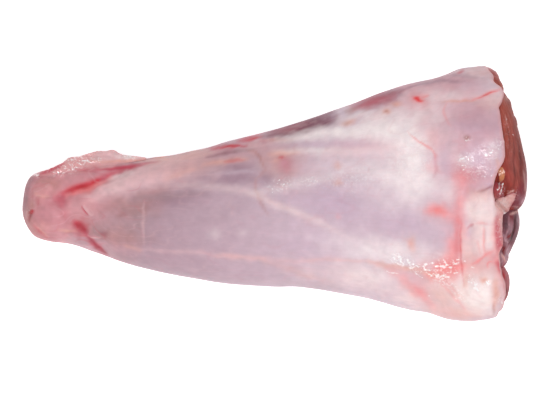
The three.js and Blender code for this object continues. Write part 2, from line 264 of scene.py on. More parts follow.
# Patches of tissue: name, tissue, middle (along, across), half size, turn in degrees, edge, strength, height.
# An edge of 2 is as soft as a bell curve, and a higher one is crisper.
PATCHES = (
    # Painted shade: the grey rim darkens the nose's end where it turns away from the light.
    ("grey rim of the nose", "rim", (0.3, -3), (2.1, 8), 0, 2, 0.95, 0),
    ("brown of the rim", "brown", (2.8, -8.5), (1.4, 5), 8, 2, 0.55, 0),
    ("brown top of the nose", "rim", (3.2, 5.4), (2.6, 2.2), 40, 2, 0.6, 0),
    # The chin is brown, and darker still with painted shade where the nose turns down at its near edge.
    ("brown chin", "brown", (5.6, -14.4), (5.4, 2.2), -50, 2, 0.6, 0),
    ("rosy chin", "rose", (9, -16.8), (4, 1.6), -25, 2, 0.22, 0),
    ("peach of the knuckle", "peach", (8.6, -12.6), (2.2, 1.6), 0, 2, 0.5, 0),
    # Painted shade in the hollow above the pad.
    ("olive hollow", "brown", (11, 4.9), (4, 1.6), -8, 2, 0.4, 0),
    ("upper pad", "pad", (8, 1.6), (4.4, 2.6), 8, 3, 0.6, 0.4),
    ("pad of the nose", "pad", (5, -3.4), (2.2, 3), 0, 2, 0.5, 0.1),
    ("flush of the knuckle", "rose", (12, 0), (11, 3), 4, 2, 0.13, 0),
    ("knuckle pad", "knuckle", (11, -9.5), (6.5, 5.5), 0, 3, 0.6, 0.5),
    # A real dip beside the pad, darkened with painted shade.
    ("hollow beside the pad", "brown", (13.4, 2.8), (1.6, 2.2), 0, 2, 0.4, -0.3),
    ("mauve valley", "rose", (15.4, -3.2), (2.8, 2.4), -20, 2, 0.55, -0.35),
    ("foot of the valley", "rose", (16.4, -8.4), (1.0, 3.2), 22, 2, 0.22, -0.2),
    ("rosy flap", "rose", (10.5, 8.4), (4, 1.0), 22, 2, 0.4, 0),
    ("raw flap", "coral", (20, 10.8), (7, 2.2), 20, 2, 0.35, 0),
    ("pale flap", "tendon", (33, 14.8), (5.5, 2.2), 5, 3, 0.8, 0),
    ("white end of the flap", "fascia", (41.5, 14.0), (4, 0.9), -5, 2, 0.6, 0),
    ("dull ankle", "grey", (38, -13.5), (8, 4.5), -5, 2, 0.5, 0),
    ("beige ankle", "brown", (39, -4.2), (8, 3.2), 4, 2, 0.4, 0),
    # Painted shadow below the ankle's tendon.
    ("dark patch of the ankle", "brown", (46.6, -4.6), (5, 4.4), 15, 2, 0.6, -0.1),
    ("stain of the ankle", "brown", (39.3, -8.5), (1.8, 1.3), 20, 2, 0.65, 0),
    ("warm skin by the slit", "coral", (28, -4), (6, 3.6), 0, 2, 0.1, 0),
    ("dull strip above the seam", "brown", (35, -16.4), (11, 2.8), -8, 2, 0.5, 0),
    # More painted shadow below the ankle's tendon.
    ("grey of the ankle", "grey", (44.4, -8), (5, 8), 0, 2, 0.4, 0),
    ("mauve below the hollow", "mauve", (29, -18.4), (5, 2.4), -25, 2, 0.24, 0),
    # Painted shade along the ankle's near edge, where it turns from the light.
    ("grey near edge of the ankle", "grey", (37, -24), (6, 2), -22, 2, 0.4, 0),
    ("flush by the slit", "rose", (28, -3.4), (4, 2.4), 0, 2, 0.04, 0),
    ("warm end of the ankle", "brown", (52, 0), (5.4, 2.2), 8, 2, 0.55, 0),
    ("shade of the stain", "mauve", (39.3, -8.5), (1.8, 1.2), 20, 2, 0.3, 0),
    ("clear stretch of the tendon", "tendon", (38, 3.4), (10, 3.2), 20, 2.5, 0.9, 0.25),
    ("bright tendon", "cream", (37, 4.6), (7, 2.6), 20, 2, 0.35, 0),
    ("end of the tendon", "tendon", (51, 6.2), (8, 4.0), 12, 2, 0.75, 0.05),
    ("lavender beside the hock", "pale_silverskin", (27, -21), (8, 2), -22, 2, 0.45, 0),
    ("shade below the hollow", "grey", (23, -18.6), (4, 1.4), -20, 2, 0.35, 0),
    ("small red spot", "clot", (31.8, -15.8), (1.5, 1.0), 0, 2, 0.8, -0.1),
    ("lilac by the hollow", "grey", (31, -14.6), (4, 2), -10, 2, 0.6, 0),
    ("peach of the ankle", "peach", (41.5, -20.8), (2.4, 0.7), -15, 2, 0.25, 0),
    ("pink of the upper calf", "tendon", (61, 9), (11, 4.5), 14, 2, 0.45, 0),
    ("warm upper calf", "peach", (66, 11), (12, 4.4), 12, 2, 0.28, 0),
    ("light of the ankle tendons", "tendon", (42, 5.6), (14, 4), 14, 2, 0.25, 0),
    ("light far calf", "tendon", (88, 18.6), (6, 2.4), 12, 2, 0.2, 0),
    ("lilac of the low flank", "mauve", (102, -27), (11, 4), 0, 2, 0.1, 0),
    ("peach end of the flap", "peach", (52, 12.2), (5, 1.8), 8, 2, 0.4, 0),
    ("pale far calf", "tendon", (60, 12.6), (6, 2), 10, 2, 0.5, 0),
    # Painted light: a pale patch lifts the shade at the calf's far edge.
    ("pale far edge of the calf", "tendon", (92, 19.2), (6, 1.8), 12, 2, 0.4, 0),
    ("pink under the red streaks", "ankle", (80, 16), (12, 3.4), 12, 2, 0.4, 0),
    ("peach far edge", "peach", (66, 15), (8, 1.4), 10, 2, 0.4, 0),
    ("orange bump", "peach", (54.5, 14.1), (2.2, 0.9), 0, 2, 0.7, 0),
    ("shade under the tendon", "mauve", (57, -1.4), (11, 2.8), 4, 2, 0.42, -0.1),
    ("upper purple window", "mauve", (84, 10.1), (4.4, 1.6), 3, 2, 0.45, -0.1),
    ("lower purple window", "mauve", (81, 5.8), (7.6, 1.8), 0, 2, 0.45, -0.1),
    ("right purple window", "mauve", (95.6, 5.8), (2.8, 2.4), 0, 2, 0.36, 0),
    ("pink upper edge of the calf", "ankle", (96, 17), (9, 5), 14, 2, 0.35, 0),
    ("smudge", "brown", (102.6, 11.8), (4, 4.2), 0, 2, 0.7, 0.1),
    ("warmth round the smudge", "peach", (104, 12.4), (8, 5.5), 0, 2, 0.45, 0),
    ("brown round the smudge", "brown", (103, 13), (5, 5), 0, 2, 0.25, 0),
    ("lilac right of the smudge", "mauve", (109, 5), (8, 6), 0, 2, 0.13, 0),
    ("warmth of the windows", "mauve", (88, 7), (8, 3.6), 0, 2, 0.16, 0),
    ("red of the smudge", "rose", (103, 11.4), (2.8, 3), -30, 2, 0.55, 0),
    ("dot of the smudge", "blood", (101.4, 13.8), (0.8, 0.6), 0, 2.5, 0.7, 0),
    ("flush of the blood spot", "coral", (154.2, 36.5), (3.0, 1.9), -15, 2, 0.55, 0),
    ("halo of the hook", "coral", (162.4, -8.6), (5.4, 3.4), -20, 2, 0.2, 0),
    ("pink beside the sheet", "rose", (160, 22), (4, 3), 0, 2, 0.08, 0),
    # Partly dark lean and partly painted shade of the far side.
    ("dark heart of the far strip", "maroon", (138.6, 35.8), (6, 1.4), 20, 2, 0.3, 0),
    ("blush under the strip", "coral", (140, 30), (3.6, 1.5), 10, 2, 0.24, 0),
    ("peach of the smudge", "peach", (99.6, 12.6), (1.0, 0.8), 0, 2, 0.5, 0),
    ("faint red spot", "rose", (94.2, 20.3), (1.4, 0.8), 0, 2, 0.35, 0),
    ("pale spot of the calf", "fascia", (75.2, -15.7), (1.9, 1.6), 0, 2, 0.28, 0),
    ("second pale spot", "fascia", (86, -15.5), (1.4, 1.1), 0, 2, 0.2, 0),
    ("pale near calf", "silverskin", (76, -32), (22, 3), -6, 2, 0.3, 0),
    ("mauve of the upper thigh", "lilac", (115, 12), (12, 3.4), 4, 2, 0.55, 0),
    ("lilac of the middle", "lilac", (122, -4), (12, 5), -6, 2, 0.65, 0),
    ("lilac of the right", "lilac", (148, -11), (9, 4.5), -8, 2, 0.55, 0),
    ("lower lilac", "lilac", (112, -20), (9, 4), -5, 2, 0.35, 0),
    ("white sheet", "fascia", (150, 21.5), (15, 8.5), -4, 2.2, 0.95, 0),
    ("white sheet below", "fascia", (153, 4), (10, 8), -15, 2, 0.7, 0),
    ("thin sheet before the smudge", "fascia", (122, 13), (14, 7), 0, 2, 0.25, 0),
    ("white flank", "fascia", (142, -23), (17, 4.2), -7, 2, 0.64, 0),
    ("pale thigh under the far strip", "fascia", (149, 30.6), (8, 4.6), 12, 2, 0.5, 0),
    ("pale film by the crease", "fascia", (171, 37.6), (13, 2.4), 0, 2, 0.38, 0),
    ("cream flank", "cream", (131, -33), (18, 4.4), -8, 2, 0.6, 0),
    # Painted shade along the near edge, where it turns from the light.
    ("grey near edge", "grey", (114, -36.2), (10, 1.6), -6, 2, 0.35, 0),
    ("cream near edge", "cream", (151, -41.5), (8, 3), -14, 2, 0.8, 0),
    ("warm near corner", "cream", (172, -37), (15, 12), 0, 4, 0.85, 0),
    ("pink of the near corner", "coral", (170, -47), (10, 2.4), 3, 2, 0.25, 0),
    ("pink over the knob", "coral", (178, -29.6), (8, 3), 0, 2, 0.18, 0),
    ("pink film over the thigh", "thigh", (170, 33), (15, 9), 0, 2.5, 0.75, 0),
    ("pale far film", "fascia", (166, 38.4), (7, 1.6), 0, 2, 0.4, 0),
    ("pink far edge", "knuckle", (163, 44), (18, 3.4), 8, 2, 0.6, 0),
    ("pink below the far strip", "fascia", (141, 30.4), (8, 2.6), 18, 2, 0.45, 0),
    ("pink bulge of the thigh", "thigh", (175, 17), (12, 12), 0, 3, 0.75, 0.3),
    ("sheen of the bulge", "fascia", (173, 13.2), (3.8, 2.6), 8, 2, 0.55, 0),
    ("second sheen of the bulge", "fascia", (183.4, 16.8), (2.6, 3), 0, 2, 0.4, 0),
    ("lilac of the bulge", "lilac", (177.6, 13.4), (4.6, 6), 0, 2, 0.6, 0),
    ("salmon foot of the bulge", "knuckle", (173, 7), (7, 3), -8, 2, 0.8, 0),
    # Painted shade on the thigh's far slope.
    ("dull film of the thigh", "mauve", (178, 28), (9, 4.5), 0, 2, 0.28, 0),
    # Painted shade at the foot of the step, in a real dip.
    ("lilac foot of the step", "lilac", (164.4, 12), (2.2, 5), 0, 2, 0.5, -0.2),
    ("pink by the step", "coral", (159, 9.6), (2.2, 1.8), 0, 2, 0.36, 0),
    ("pink round the vessel", "coral", (160.4, 19.6), (2.6, 5.6), 10, 2, 0.22, 0),
    ("white before the step", "fascia", (152, 11), (6, 4), 0, 2, 0.45, 0),
    ("thin sheet of the middle", "fascia", (136, 9), (10, 4), 0, 2, 0.26, 0),
    ("white of the near flank", "fascia", (136, -32), (8, 3), -8, 2, 0.4, 0),
    ("pale film of the far thigh", "fascia", (159, 37.4), (5, 2.2), 0, 2, 0.35, 0),
    ("pale far corner", "fascia", (176, 47.2), (7, 1.8), 0, 2, 0.36, 0),
    ("pale edge by the wedge", "fascia", (183, 43.4), (3.6, 2.8), -30, 2, 0.2, 0),
    ("pale side of the trough", "fascia", (167, 0.2), (3.4, 4), 0, 2, 0.4, 0),
    ("pink under the far strip", "thigh", (152, 36), (11, 4), 14, 2, 0.6, 0),
    ("first stain", "peach", (127, 27.6), (2.2, 1.1), 22, 2, 0.85, 0),
    ("second stain", "peach", (142.4, 31.5), (1.2, 1.0), 0, 2, 1.0, 0),
    ("third stain", "peach", (145.8, 34.6), (1.5, 0.9), 0, 2, 0.8, 0),
    ("fourth stain", "peach", (123.3, 11), (1.3, 1.4), 0, 2, 0.5, 0),
    ("fifth stain", "peach", (123.4, 4.1), (1.3, 1.2), 0, 2, 0.55, 0),
    ("brown of the first stain", "brown", (126.4, 27.2), (1.2, 0.7), 22, 2, 0.5, 0),
    ("brown of the second stain", "brown", (142.4, 31.5), (0.7, 0.6), 0, 2, 0.5, 0),
    ("sixth stain", "coral", (123.3, -9.8), (0.8, 0.8), 0, 2, 0.3, 0),
    ("seventh stain", "brown", (118.6, 17.6), (0.6, 0.6), 0, 2, 0.4, 0),
    ("eighth stain", "peach", (152, -20), (1.4, 2.2), 0, 2, 0.6, 0),
    ("thigh stain", "brown", (173.3, 21.8), (1.3, 0.9), 10, 2.5, 0.75, -0.3),
    ("cream of the thigh", "peach", (183, 35.4), (4.4, 2.6), 10, 2, 0.35, 0),
    ("cream at the edge of the thigh", "cream", (184.5, 36.4), (4, 3), 0, 2, 0.5, 0),
    ("pink of the far corner", "pad", (180, 47.6), (6, 1.6), 0, 2, 0.4, 0),
    ("lilac of the thigh", "lilac", (176, 25.4), (8, 2), -5, 2, 0.35, 0),
    ("pale of the thigh", "fascia", (161, 31), (5, 5), 0, 2, 0.35, 0),
    ("halo of the blood spot", "coral", (154.4, 36.6), (3.2, 2.2), 10, 2, 0.5, 0),
    ("bright blood spot", "fresh", (154.2, 36.5), (1.6, 1.0), -15, 3, 1.0, 0),
    ("hook of raw fat", "coral", (161.5, -6.9), (3.4, 1.8), -5, 2, 0.85, -0.15),
    ("red of the hook", "rose", (161.4, -7.1), (2.2, 1.2), 0, 2, 0.24, 0),
    ("pink above the hook", "coral", (166, -3.5), (5, 4), 0, 2, 0.14, 0),
    ("coral over the bulge", "coral", (171, 5), (3, 3), 0, 2, 0.3, 0),
    ("foot of the trough", "coral", (166.8, -29), (5.6, 3.6), 0, 2, 1.0, -0.15),
    ("left foot of the trough", "coral", (160, -31.8), (4, 2.2), -10, 2, 0.7, 0),
    ("red foot of the trough", "blood", (166, -29), (5.6, 2.6), 0, 2, 0.14, 0),
    ("orange side of the trough", "coral", (167.4, -22), (2.0, 4), 0, 2, 0.6, 0),
    ("fat block", "cream", (178.8, -5.5), (6.2, 6.4), 0, 4, 0.9, 0.3),
    ("white of the block", "fat", (177.4, -8.4), (3.4, 2.6), 0, 2, 0.5, 0),
    ("lower block", "cream", (178.6, -18), (7.2, 8.2), 0, 4, 0.9, 0.15),
    ("pink of the lower block", "coral", (177.6, -27), (5.6, 3), 0, 2, 0.22, -0.05),
    ("peach of the lower block", "peach", (181.6, -28.4), (5, 4), 0, 2, 0.3, 0),
    ("peach beside the trough", "peach", (174, -24), (2, 3), 0, 2, 0.3, 0),
    # Painted shade in the block's crease, a real dip.
    ("grey crease of the block", "lilac", (174.2, -15.6), (1.3, 2.4), 12, 2, 0.5, -0.25),
    ("fat knob", "fat", (177.4, -39.6), (7.6, 6.6), 0, 3, 0.85, 0.5),
    ("pale foot of the knob", "fat", (181.6, -44.4), (3.4, 2.6), 0, 2, 0.45, 0),
    ("pink side of the knob", "coral", (186.4, -34), (1.8, 7), 0, 2, 0.25, 0.15),
    ("stained knob", "peach", (164, -41), (6, 5), -25, 2, 0.45, 0),
    ("peach foot of the knob", "peach", (171, -47.6), (8, 2.4), 3, 2, 0.36, 0),
    ("orange spot of the knob", "peach", (180, -33.8), (1.2, 0.9), 0, 2, 0.85, -0.1),
    ("peach streak of the knob", "peach", (173.4, -34.6), (1.0, 2.6), 0, 2, 0.6, 0),
    ("raw field before the knob", "coral", (153, -35), (4, 3), -42, 2, 0.25, -0.1),
    ("raw end of the field", "coral", (155.8, -39), (3, 2), -42, 2, 0.5, 0),
)

# Streaks of tissue: name, tissue, course of (along, across), width, edge, strength, height.
STREAKS = (
    ("nick in the nose", "clot", ((4.4, -6.0), (3.7, -7.2), (3.1, -8.8), (2.9, -11)), 1.2, 2, 0.7, -0.3),
    ("blood of the nick", "blood", ((4.2, -6.2), (3.7, -7.2), (3.3, -8.2)), 1.0, 2, 0.65, -0.1),
    ("lip of the nick", "pad", ((2.4, -6.8), (2.3, -8.4), (2.4, -9.8)), 0.8, 2, 0.4, 0.15),
    ("salmon fold of the nose", "peach", ((4.2, 0.2), (6.8, -0.9), (9, -1.3), (11.6, -1.5)),
     1.2, 2, 0.45, -0.15),
    ("fold of the nose", "rose", ((5.6, -0.8), (6.2, -3), (6, -5.8)), 0.9, 2, 0.42, -0.15),
    ("second fold of the nose", "brown", ((3.2, -2.4), (3.8, -4.2), (4.3, -5.9)), 0.9, 2, 0.6, -0.15),
    ("arc over the pad", "brown", ((3.8, 3.2), (6.5, 4.6), (9.5, 4.9), (12, 3.8), (13, 1.2)),
     1.2, 2, 0.35, -0.15),
    ("chin line", "rose", ((4.8, -11.6), (6, -13.8), (7.6, -15.6), (9.6, -18)), 0.9, 2, 0.52, -0.15),
    ("second chin line", "peach", ((6, -13), (8, -15.4), (10.4, -17.6)), 0.9, 2, 0.45, -0.25),
    ("orange line of the knuckle", "peach", ((13, -14), (16, -14.8), (18.6, -15), (22, -15.5)),
     1.2, 2, 0.5, -0.1),
    ("red border of the flap", "rose", ((6.2, 7.2), (8.5, 8), (11, 9.2), (13.5, 10.3), (16.6, 12)),
     1.3, 2, 0.9, 0),
    ("red groove", "rose", ((14, -3), (17, -0.4), (20.5, 1.3), (24, 2.7), (27, 3.9), (30, 5.1), (33, 6.3),
      (36, 7.4), (40, 8.8), (44, 10)), 3.2, 2, 0.85, -0.15),
    ("core of the red groove", "blood", ((15.8, -1.2), (18, 0.4), (20.4, 1.3), (24, 2.6), (28, 4.1),
      (31, 5.4)), 2.5, 2, 1.0, -0.1),
    ("dark of the red groove", "clot", ((17, -0.2), (20.4, 1.4), (24, 2.7), (27, 3.8)), 1.5, 2, 0.42, 0),
    # The coral fringe is the groove's own colour, made stronger as painted light against the shade on the
    # groove's near wall.
    ("fringe of the red groove", "coral", ((17, -1.6), (21.5, 0.1), (26, 1.8), (31, 3.8), (36, 6)),
     2.0, 2, 0.6, 0),
    # Painted light: a pale band lifts the shade on the groove's near wall.
    ("pale wall of the groove", "fat", ((33, 4.4), (37, 6.1), (40, 7.2), (44, 8.2)), 2.2, 2, 0.34, 0),
    ("soft root of the flap", "pad", ((17, 7.2), (24, 8.6), (31, 10.2), (40, 11.7)), 1.8, 2, 0.5, 0),
    ("rose groove", "rose", ((19.6, 8.4), (26, 9), (31, 9.3), (36, 9.8), (41, 10.2), (47, 10.9), (55, 12.6)),
     1.8, 2, 0.8, -0.1),
    ("core of the rose groove", "rose", ((31, 9.4), (35, 9.8), (39, 9.9), (47, 10.7)), 1.6, 2, 0.55, -0.1),
    ("strand between the grooves", "knuckle", ((19, 4.6), (24, 6.4), (29, 7.7), (34, 8.6)),
     3.0, 2, 0.6, 0.15),
    ("far strand", "pad", ((18, 9.8), (26, 11), (34, 11.8), (46, 12.6)), 1.8, 2, 0.5, 0.2),
    ("orange thread", "peach", ((24, 12), (32, 12.5), (40, 12.7), (50, 12.8)), 0.8, 2, 0.65, -0.1),
    ("slit", "rose", ((23.3, -5.0), (24.6, -6.8), (26.2, -8.8)), 0.8, 2.2, 0.9, -0.25),
    ("lip of the slit", "tendon", ((24, -4.6), (26, -7), (27.2, -9)), 1.3, 2.2, 0.6, 0.2),
    ("red hollow", "rose", ((19.6, -10.6), (21.4, -12.4), (23.4, -14.4), (26, -16.4)), 3.6, 2, 0.85, -0.35),
    ("core of the hollow", "blood", ((20.8, -11.2), (22.4, -13.0), (24.8, -15.2)), 3.0, 2, 0.5, -0.2),
    ("dark root of the hollow", "clot", ((21.4, -11.6), (23, -13.8), (25.6, -16.2)), 2.4, 2, 0.6, -0.1),
    ("thin red crease", "rose", ((23.4, -15), (26.6, -18.6), (29, -21), (31.4, -23), (34, -24.8)),
     1.6, 2, 0.75, -0.3),
    ("dark of the crease", "clot", ((25.6, -17.6), (28.2, -20.4), (30, -22), (33, -24.2)), 1.3, 2, 0.6, -0.1),
    ("pale fold of the ankle", "tendon", ((25.2, -17), (28, -18), (31, -17.4)), 0.8, 2, 0.5, 0.2),
    # Painted shade below the edge of the ankle's tendon.
    ("dark border of the silverskin", "grey", ((40, -3), (47, -2), (52, -1.4), (58, -1), (64, -0.6),
      (72, 0.6)), 2.6, 2, 0.7, -0.1),
    ("pale crease of the ankle", "tendon", ((47.8, -2), (47.2, -9), (47, -15), (47.5, -21)),
     1.0, 2, 0.35, -0.15),
    ("shade beside the crease", "grey", ((45.4, -5), (45.2, -13), (45.4, -20)), 2.6, 2, 0.25, 0),
    ("lower seam", "tendon", ((40, -20.6), (46, -22), (54, -22.6), (62, -22.9), (70, -23.6), (80, -24.8),
      (90, -25), (98, -26.3), (108, -26.6), (122, -25.9), (138, -27)), 1.8, 2, 0.42, 0.08),
    ("stain of the lower seam", "peach", ((40, -20.6), (43.5, -21.6), (47, -22.3)), 1.2, 2, 0.2, 0),
    ("second stain of the lower seam", "peach", ((74, -24.2), (84, -25), (96, -25.8)), 1.8, 2, 0.2, 0),
    ("lower branch", "peach", ((90, -25.2), (100, -28.2), (110, -31.4), (122, -35)), 2.4, 2, 0.2, 0),
    ("first peach streak", "peach", ((55, 4.8), (63, 7.6), (71, 10.2)), 2.2, 2, 0.25, 0.1),
    ("second peach streak", "peach", ((69, 10.4), (76, 11.9), (81, 12.6), (89, 13.6)), 1.8, 2, 0.65, 0.1),
    ("short red streak", "rose", ((78, 12.1), (82, 12.6), (86.5, 13.1)), 1.1, 2, 0.45, 0),
    ("dark stripe of the calf", "maroon", ((71, 14), (75, 14.7), (78, 15.3), (81, 15.9), (86, 16.7)),
     1.6, 2, 0.5, -0.1),
    ("grey stripe of the calf", "grey", ((81, 16), (87, 16.8), (92, 17)), 1.6, 2, 0.45, 0),
    ("red streak", "rose", ((72, 17), (77, 17.6), (80, 17.9), (83, 18.2), (88, 18.4)), 1.2, 2, 0.9, -0.1),
    ("core of the red streak", "blood", ((77.4, 17.7), (81.5, 18.1), (85.4, 18.4)), 0.9, 2, 0.65, 0),
    ("upper red streak", "rose", ((83.5, 19.9), (87.5, 20.9), (90, 21.5), (94.5, 22.6)), 1.7, 2, 0.95, -0.1),
    ("core of the upper red streak", "blood", ((86, 20.6), (89, 21.3), (92.5, 22.2)), 1.2, 2, 0.6, 0),
    ("peach line of the far edge", "peach", ((93, 20.4), (100, 20.8), (108, 21.6)), 1.2, 2, 0.45, 0),
    ("second peach line", "peach", ((95, 15.1), (101, 15.6), (109, 16)), 1.4, 2, 0.45, 0),
    ("pale band between the windows", "pale_silverskin", ((72, 7.4), (80, 8), (92, 8.2)), 1.6, 2, 0.5, 0.1),
    ("vessel loop", "brown", ((86.6, 17), (91, 16.3), (92.6, 14), (94, 11.5), (95, 9.3), (94.1, 7.5),
      (92, 6)), 1.1, 2, 0.5, 0.1),
    ("upright vessel", "brown", ((92.2, 7), (91, 3), (91.6, 0.3), (93.5, -4), (96.6, -9.4)),
     1.3, 2, 0.4, 0.1),
    ("pale band of the calf", "cream", ((54, 2), (68, 3), (78, 2.6), (86, 1.4), (92, -0.8), (98, -3.6),
      (104, -6.2), (112, -9.6), (120, -13.6), (130, -19)), 2.8, 2, 0.32, 0.1),
    ("core of the pale band", "cream", ((87, 0.9), (98, -3.7), (106, -7), (114, -10.6), (126, -16.8)),
     2.4, 2, 0.25, 0.06),
    ("branch of the pale band", "fascia", ((88, 0.2), (97, 1.3), (103, 2.9), (110, 4.2), (118, 5.8),
      (130, 9)), 3.2, 2, 0.32, 0.06),
    # The far strip is partly dark lean under thin film and partly painted shade, where the far side turns
    # from the light.
    ("far dark strip", "maroon", ((93, 22.6), (101, 24.3), (107, 25.8), (113, 27.8), (118, 28.6),
      (124, 30.4)), 6.0, 2.4, 1.0, -0.15),
    ("outer far strip", "maroon", ((94, 24.6), (104, 27.6), (112, 30.4), (122, 33.8)), 6, 2.2, 1.0, 0),
    ("red of the far strip", "rose", ((95, 23.2), (101, 24.8), (107, 26.4), (112, 28.4)), 2.2, 2, 0.3, 0),
    ("violet of the far strip", "mauve", ((113, 26.2), (118, 27.4), (124, 29)), 2.8, 2, 0.4, 0),
    ("right far strip", "maroon", ((128, 34.4), (133, 35.8), (138, 37), (144, 39), (149, 40.8)),
     5.4, 2, 0.7, -0.1),
    ("red of the right far strip", "rose", ((127, 33.4), (136, 35.6), (146, 38)), 4.6, 2, 0.6, 0),
    ("dark end of the far strip", "maroon", ((111.5, 26.6), (116, 26.8), (119, 27), (122.5, 27.8)),
     3.2, 2, 0.55, 0),
    ("pale end of the far strip", "fascia", ((123, 28), (127, 29.6), (132, 31), (137, 31.6)), 2.4, 2, 0.4, 0),
    ("brown end of the far strip", "brown", ((125.6, 31.6), (128, 32.4), (131, 33.2)), 2, 2, 0.5, 0),
    ("mauve far edge", "mauve", ((146, 41.4), (156, 44.4), (164, 45.6), (175, 46.4)), 1.8, 2, 0.3, 0),
    ("rose far edge", "rose", ((144, 38.6), (149, 40.2), (154, 42)), 2.2, 2, 0.3, 0),
    ("peach seam of the flank", "peach", ((108, -26), (120, -25.8), (134, -26.2), (142, -28)),
     1.4, 2, 0.2, 0),
    ("line of the far edge", "mauve", ((146, 39), (150, 40.8), (156, 43), (164, 43.9), (173, 43.4)),
     1.4, 2, 0.55, -0.1),
    ("second line of the far edge", "mauve", ((164, 46.2), (172, 46), (182, 44.6)), 1.4, 2, 0.25, 0),
    ("upper white band", "fascia", ((98, 20.2), (110, 22.3), (120, 23.4), (132, 24.2), (150, 26)),
     4.6, 2, 0.85, 0.12),
    ("grey trough", "lilac", ((95, 17.8), (106, 18.8), (114, 19.4), (124, 19.6), (140, 19.4)),
     2.6, 2, 0.5, -0.15),
    ("lower white band", "fascia", ((97, 16.2), (110, 16.8), (122, 16.8), (142, 16.2)), 2.6, 2, 0.45, 0.1),
    ("pink trough of the sheet", "thigh", ((116, 16), (126, 17.4), (136, 17.8), (150, 17.4)),
     6.4, 2, 0.42, 0),
    ("blood tail", "coral", ((154.6, 36.6), (156.6, 37.4), (159, 38.4)), 0.9, 2, 0.7, 0),
    ("thin red vessel", "coral", ((150.4, 24.4), (154, 20.8), (156, 19.3), (160, 17), (161.3, 15),
      (162, 12.6)), 0.7, 2, 0.8, 0.1),
    ("edge of the step", "rose", ((161.2, 17), (161.8, 13), (161.6, 9), (160.4, 5)), 1.2, 2, 0.28, -0.1),
    ("halo of the thigh's crease", "coral", ((163, 35.6), (176, 36.2), (187, 40.4)), 2.2, 2, 0.18, 0),
    ("red crease of the thigh", "peach", ((163, 35.4), (168, 36.2), (172, 36.1), (177.6, 36)),
     0.9, 2, 0.8, -0.2),
    ("bright end of the crease", "coral", ((175, 36.2), (180, 38.2), (183, 39.3), (187, 40.4)),
     1.0, 2, 0.9, -0.2),
    ("core of the bright end", "blood", ((177.6, 37.2), (180, 38.2), (183, 39.4), (185.4, 40)),
     0.6, 2, 0.5, 0),
    ("branch of the crease", "coral", ((165.4, 35.8), (164.4, 32.4), (165.2, 29.4), (167.4, 25.4)),
     0.9, 2, 0.35, -0.1),
    ("red line of the far edge", "rose", ((169.4, 46.6), (171, 47.4), (173, 48.4)), 1.0, 2, 0.65, 0),
    ("halo of the purple crease", "lilac", ((174, 1.4), (179, 2), (184.6, 3.6)), 2.4, 2, 0.5, 0),
    ("purple crease", "maroon", ((177.4, 0.5), (180, 1.2), (182, 2), (184.4, 3.2)), 1.0, 2, 0.7, -0.15),
    ("warm top of the block", "peach", ((173, 1.4), (178, 0), (184, 0.8)), 5, 2, 0.4, 0),
    ("strand above the fat", "peach", ((185.2, 13.8), (185.7, 11.8), (186, 9.6)), 1.0, 2, 0.5, 0.1),
    ("raw band of the trough", "coral", ((171, -1), (170.6, -6), (170.2, -12), (170, -18), (169.6, -24),
      (168.6, -32)), 4.6, 2, 0.62, -0.3),
    ("upper end of the trough", "coral", ((172, 9.4), (171.6, 5), (171, 0), (170.4, -6)), 6.4, 2, 0.36, -0.1),
    ("deep part of the trough", "rose", ((170.3, -9), (170.2, -16), (170, -22), (169.6, -28)),
     2.0, 2, 0.25, -0.15),
    ("sharp red line", "blood", ((171.2, -10.5), (171.3, -18), (171.4, -24), (171.8, -30), (172.8, -37)),
     0.7, 2, 0.45, -0.15),
    ("tail of the hook", "coral", ((156, -6.4), (162, -7.2), (166, -8.6), (171, -12)), 3.4, 2, 0.5, -0.1),
    ("upper raw diagonal", "peach", ((134, -26.2), (142, -28.2), (148, -29.6), (155, -30.8), (166, -33)),
     2.4, 2, 0.6, -0.1),
    ("lower raw diagonal", "coral", ((141, -28.6), (147.5, -33.4), (152, -37), (157, -41), (162, -46)),
     3.4, 2, 0.45, -0.1),
    ("right raw diagonal", "coral", ((159, -30.4), (164, -35.4), (168, -39.6), (173, -45.4)),
     1.3, 2, 0.45, -0.15),
    ("second right diagonal", "coral", ((162, -31.2), (167.4, -36.4), (171.4, -40.8)), 0.9, 2, 0.45, -0.15),
    ("crease across the block", "rose", ((173.2, -14.4), (174.6, -12.8), (176.4, -12.2)), 0.9, 2, 0.4, -0.2),
    ("faint crease of the block", "coral", ((176.4, -12.2), (179, -11.4), (182.4, -11.8)),
     0.9, 2, 0.35, -0.12),
    ("fold of the block", "coral", ((180, -12.4), (180.4, -17), (180.5, -21), (180.8, -25)),
     1.1, 2, 0.5, -0.3),
    ("second fold of the block", "coral", ((177.8, -18), (178.6, -22), (179.4, -24.6)), 1.0, 2, 0.25, -0.1),
    ("lower fold of the block", "coral", ((174.8, -28.2), (178, -26.4), (180.6, -24.8), (184.4, -22)),
     1.2, 2, 0.75, -0.25),
    ("ridge of the block", "fat", ((182.4, -9), (182.6, -15), (182.4, -22)), 1.8, 2, 0.3, 0.2),
    ("ring of the knob", "coral", ((184, -27.6), (182.4, -27), (181.4, -28.1), (181.8, -29.8)),
     0.8, 2, 0.85, -0.12),
    ("groove of the knob", "peach", ((184.2, -33), (185, -38), (185, -41), (184.4, -46)), 2.4, 2, 0.75, -0.2),
    ("tan foot of the groove", "brown", ((184.3, -42.8), (184, -45.4), (183.7, -47.6)), 0.9, 2, 0.55, -0.2),
    ("raw edge of the knob", "coral", ((184, -24.6), (185.4, -27.6), (186.8, -31), (187.4, -35)),
     1.8, 2, 0.55, 0),
    ("red edge of the knob", "rose", ((185.4, -24), (186.4, -27.6), (187.4, -32), (188.2, -37), (188.4, -41)),
     1.0, 2, 0.6, 0),
    ("pink edge of the thigh", "thigh", ((186.6, 35), (186.8, 29), (187.8, 22), (188.8, 15), (188, 11)),
     2.0, 2, 0.7, 0),
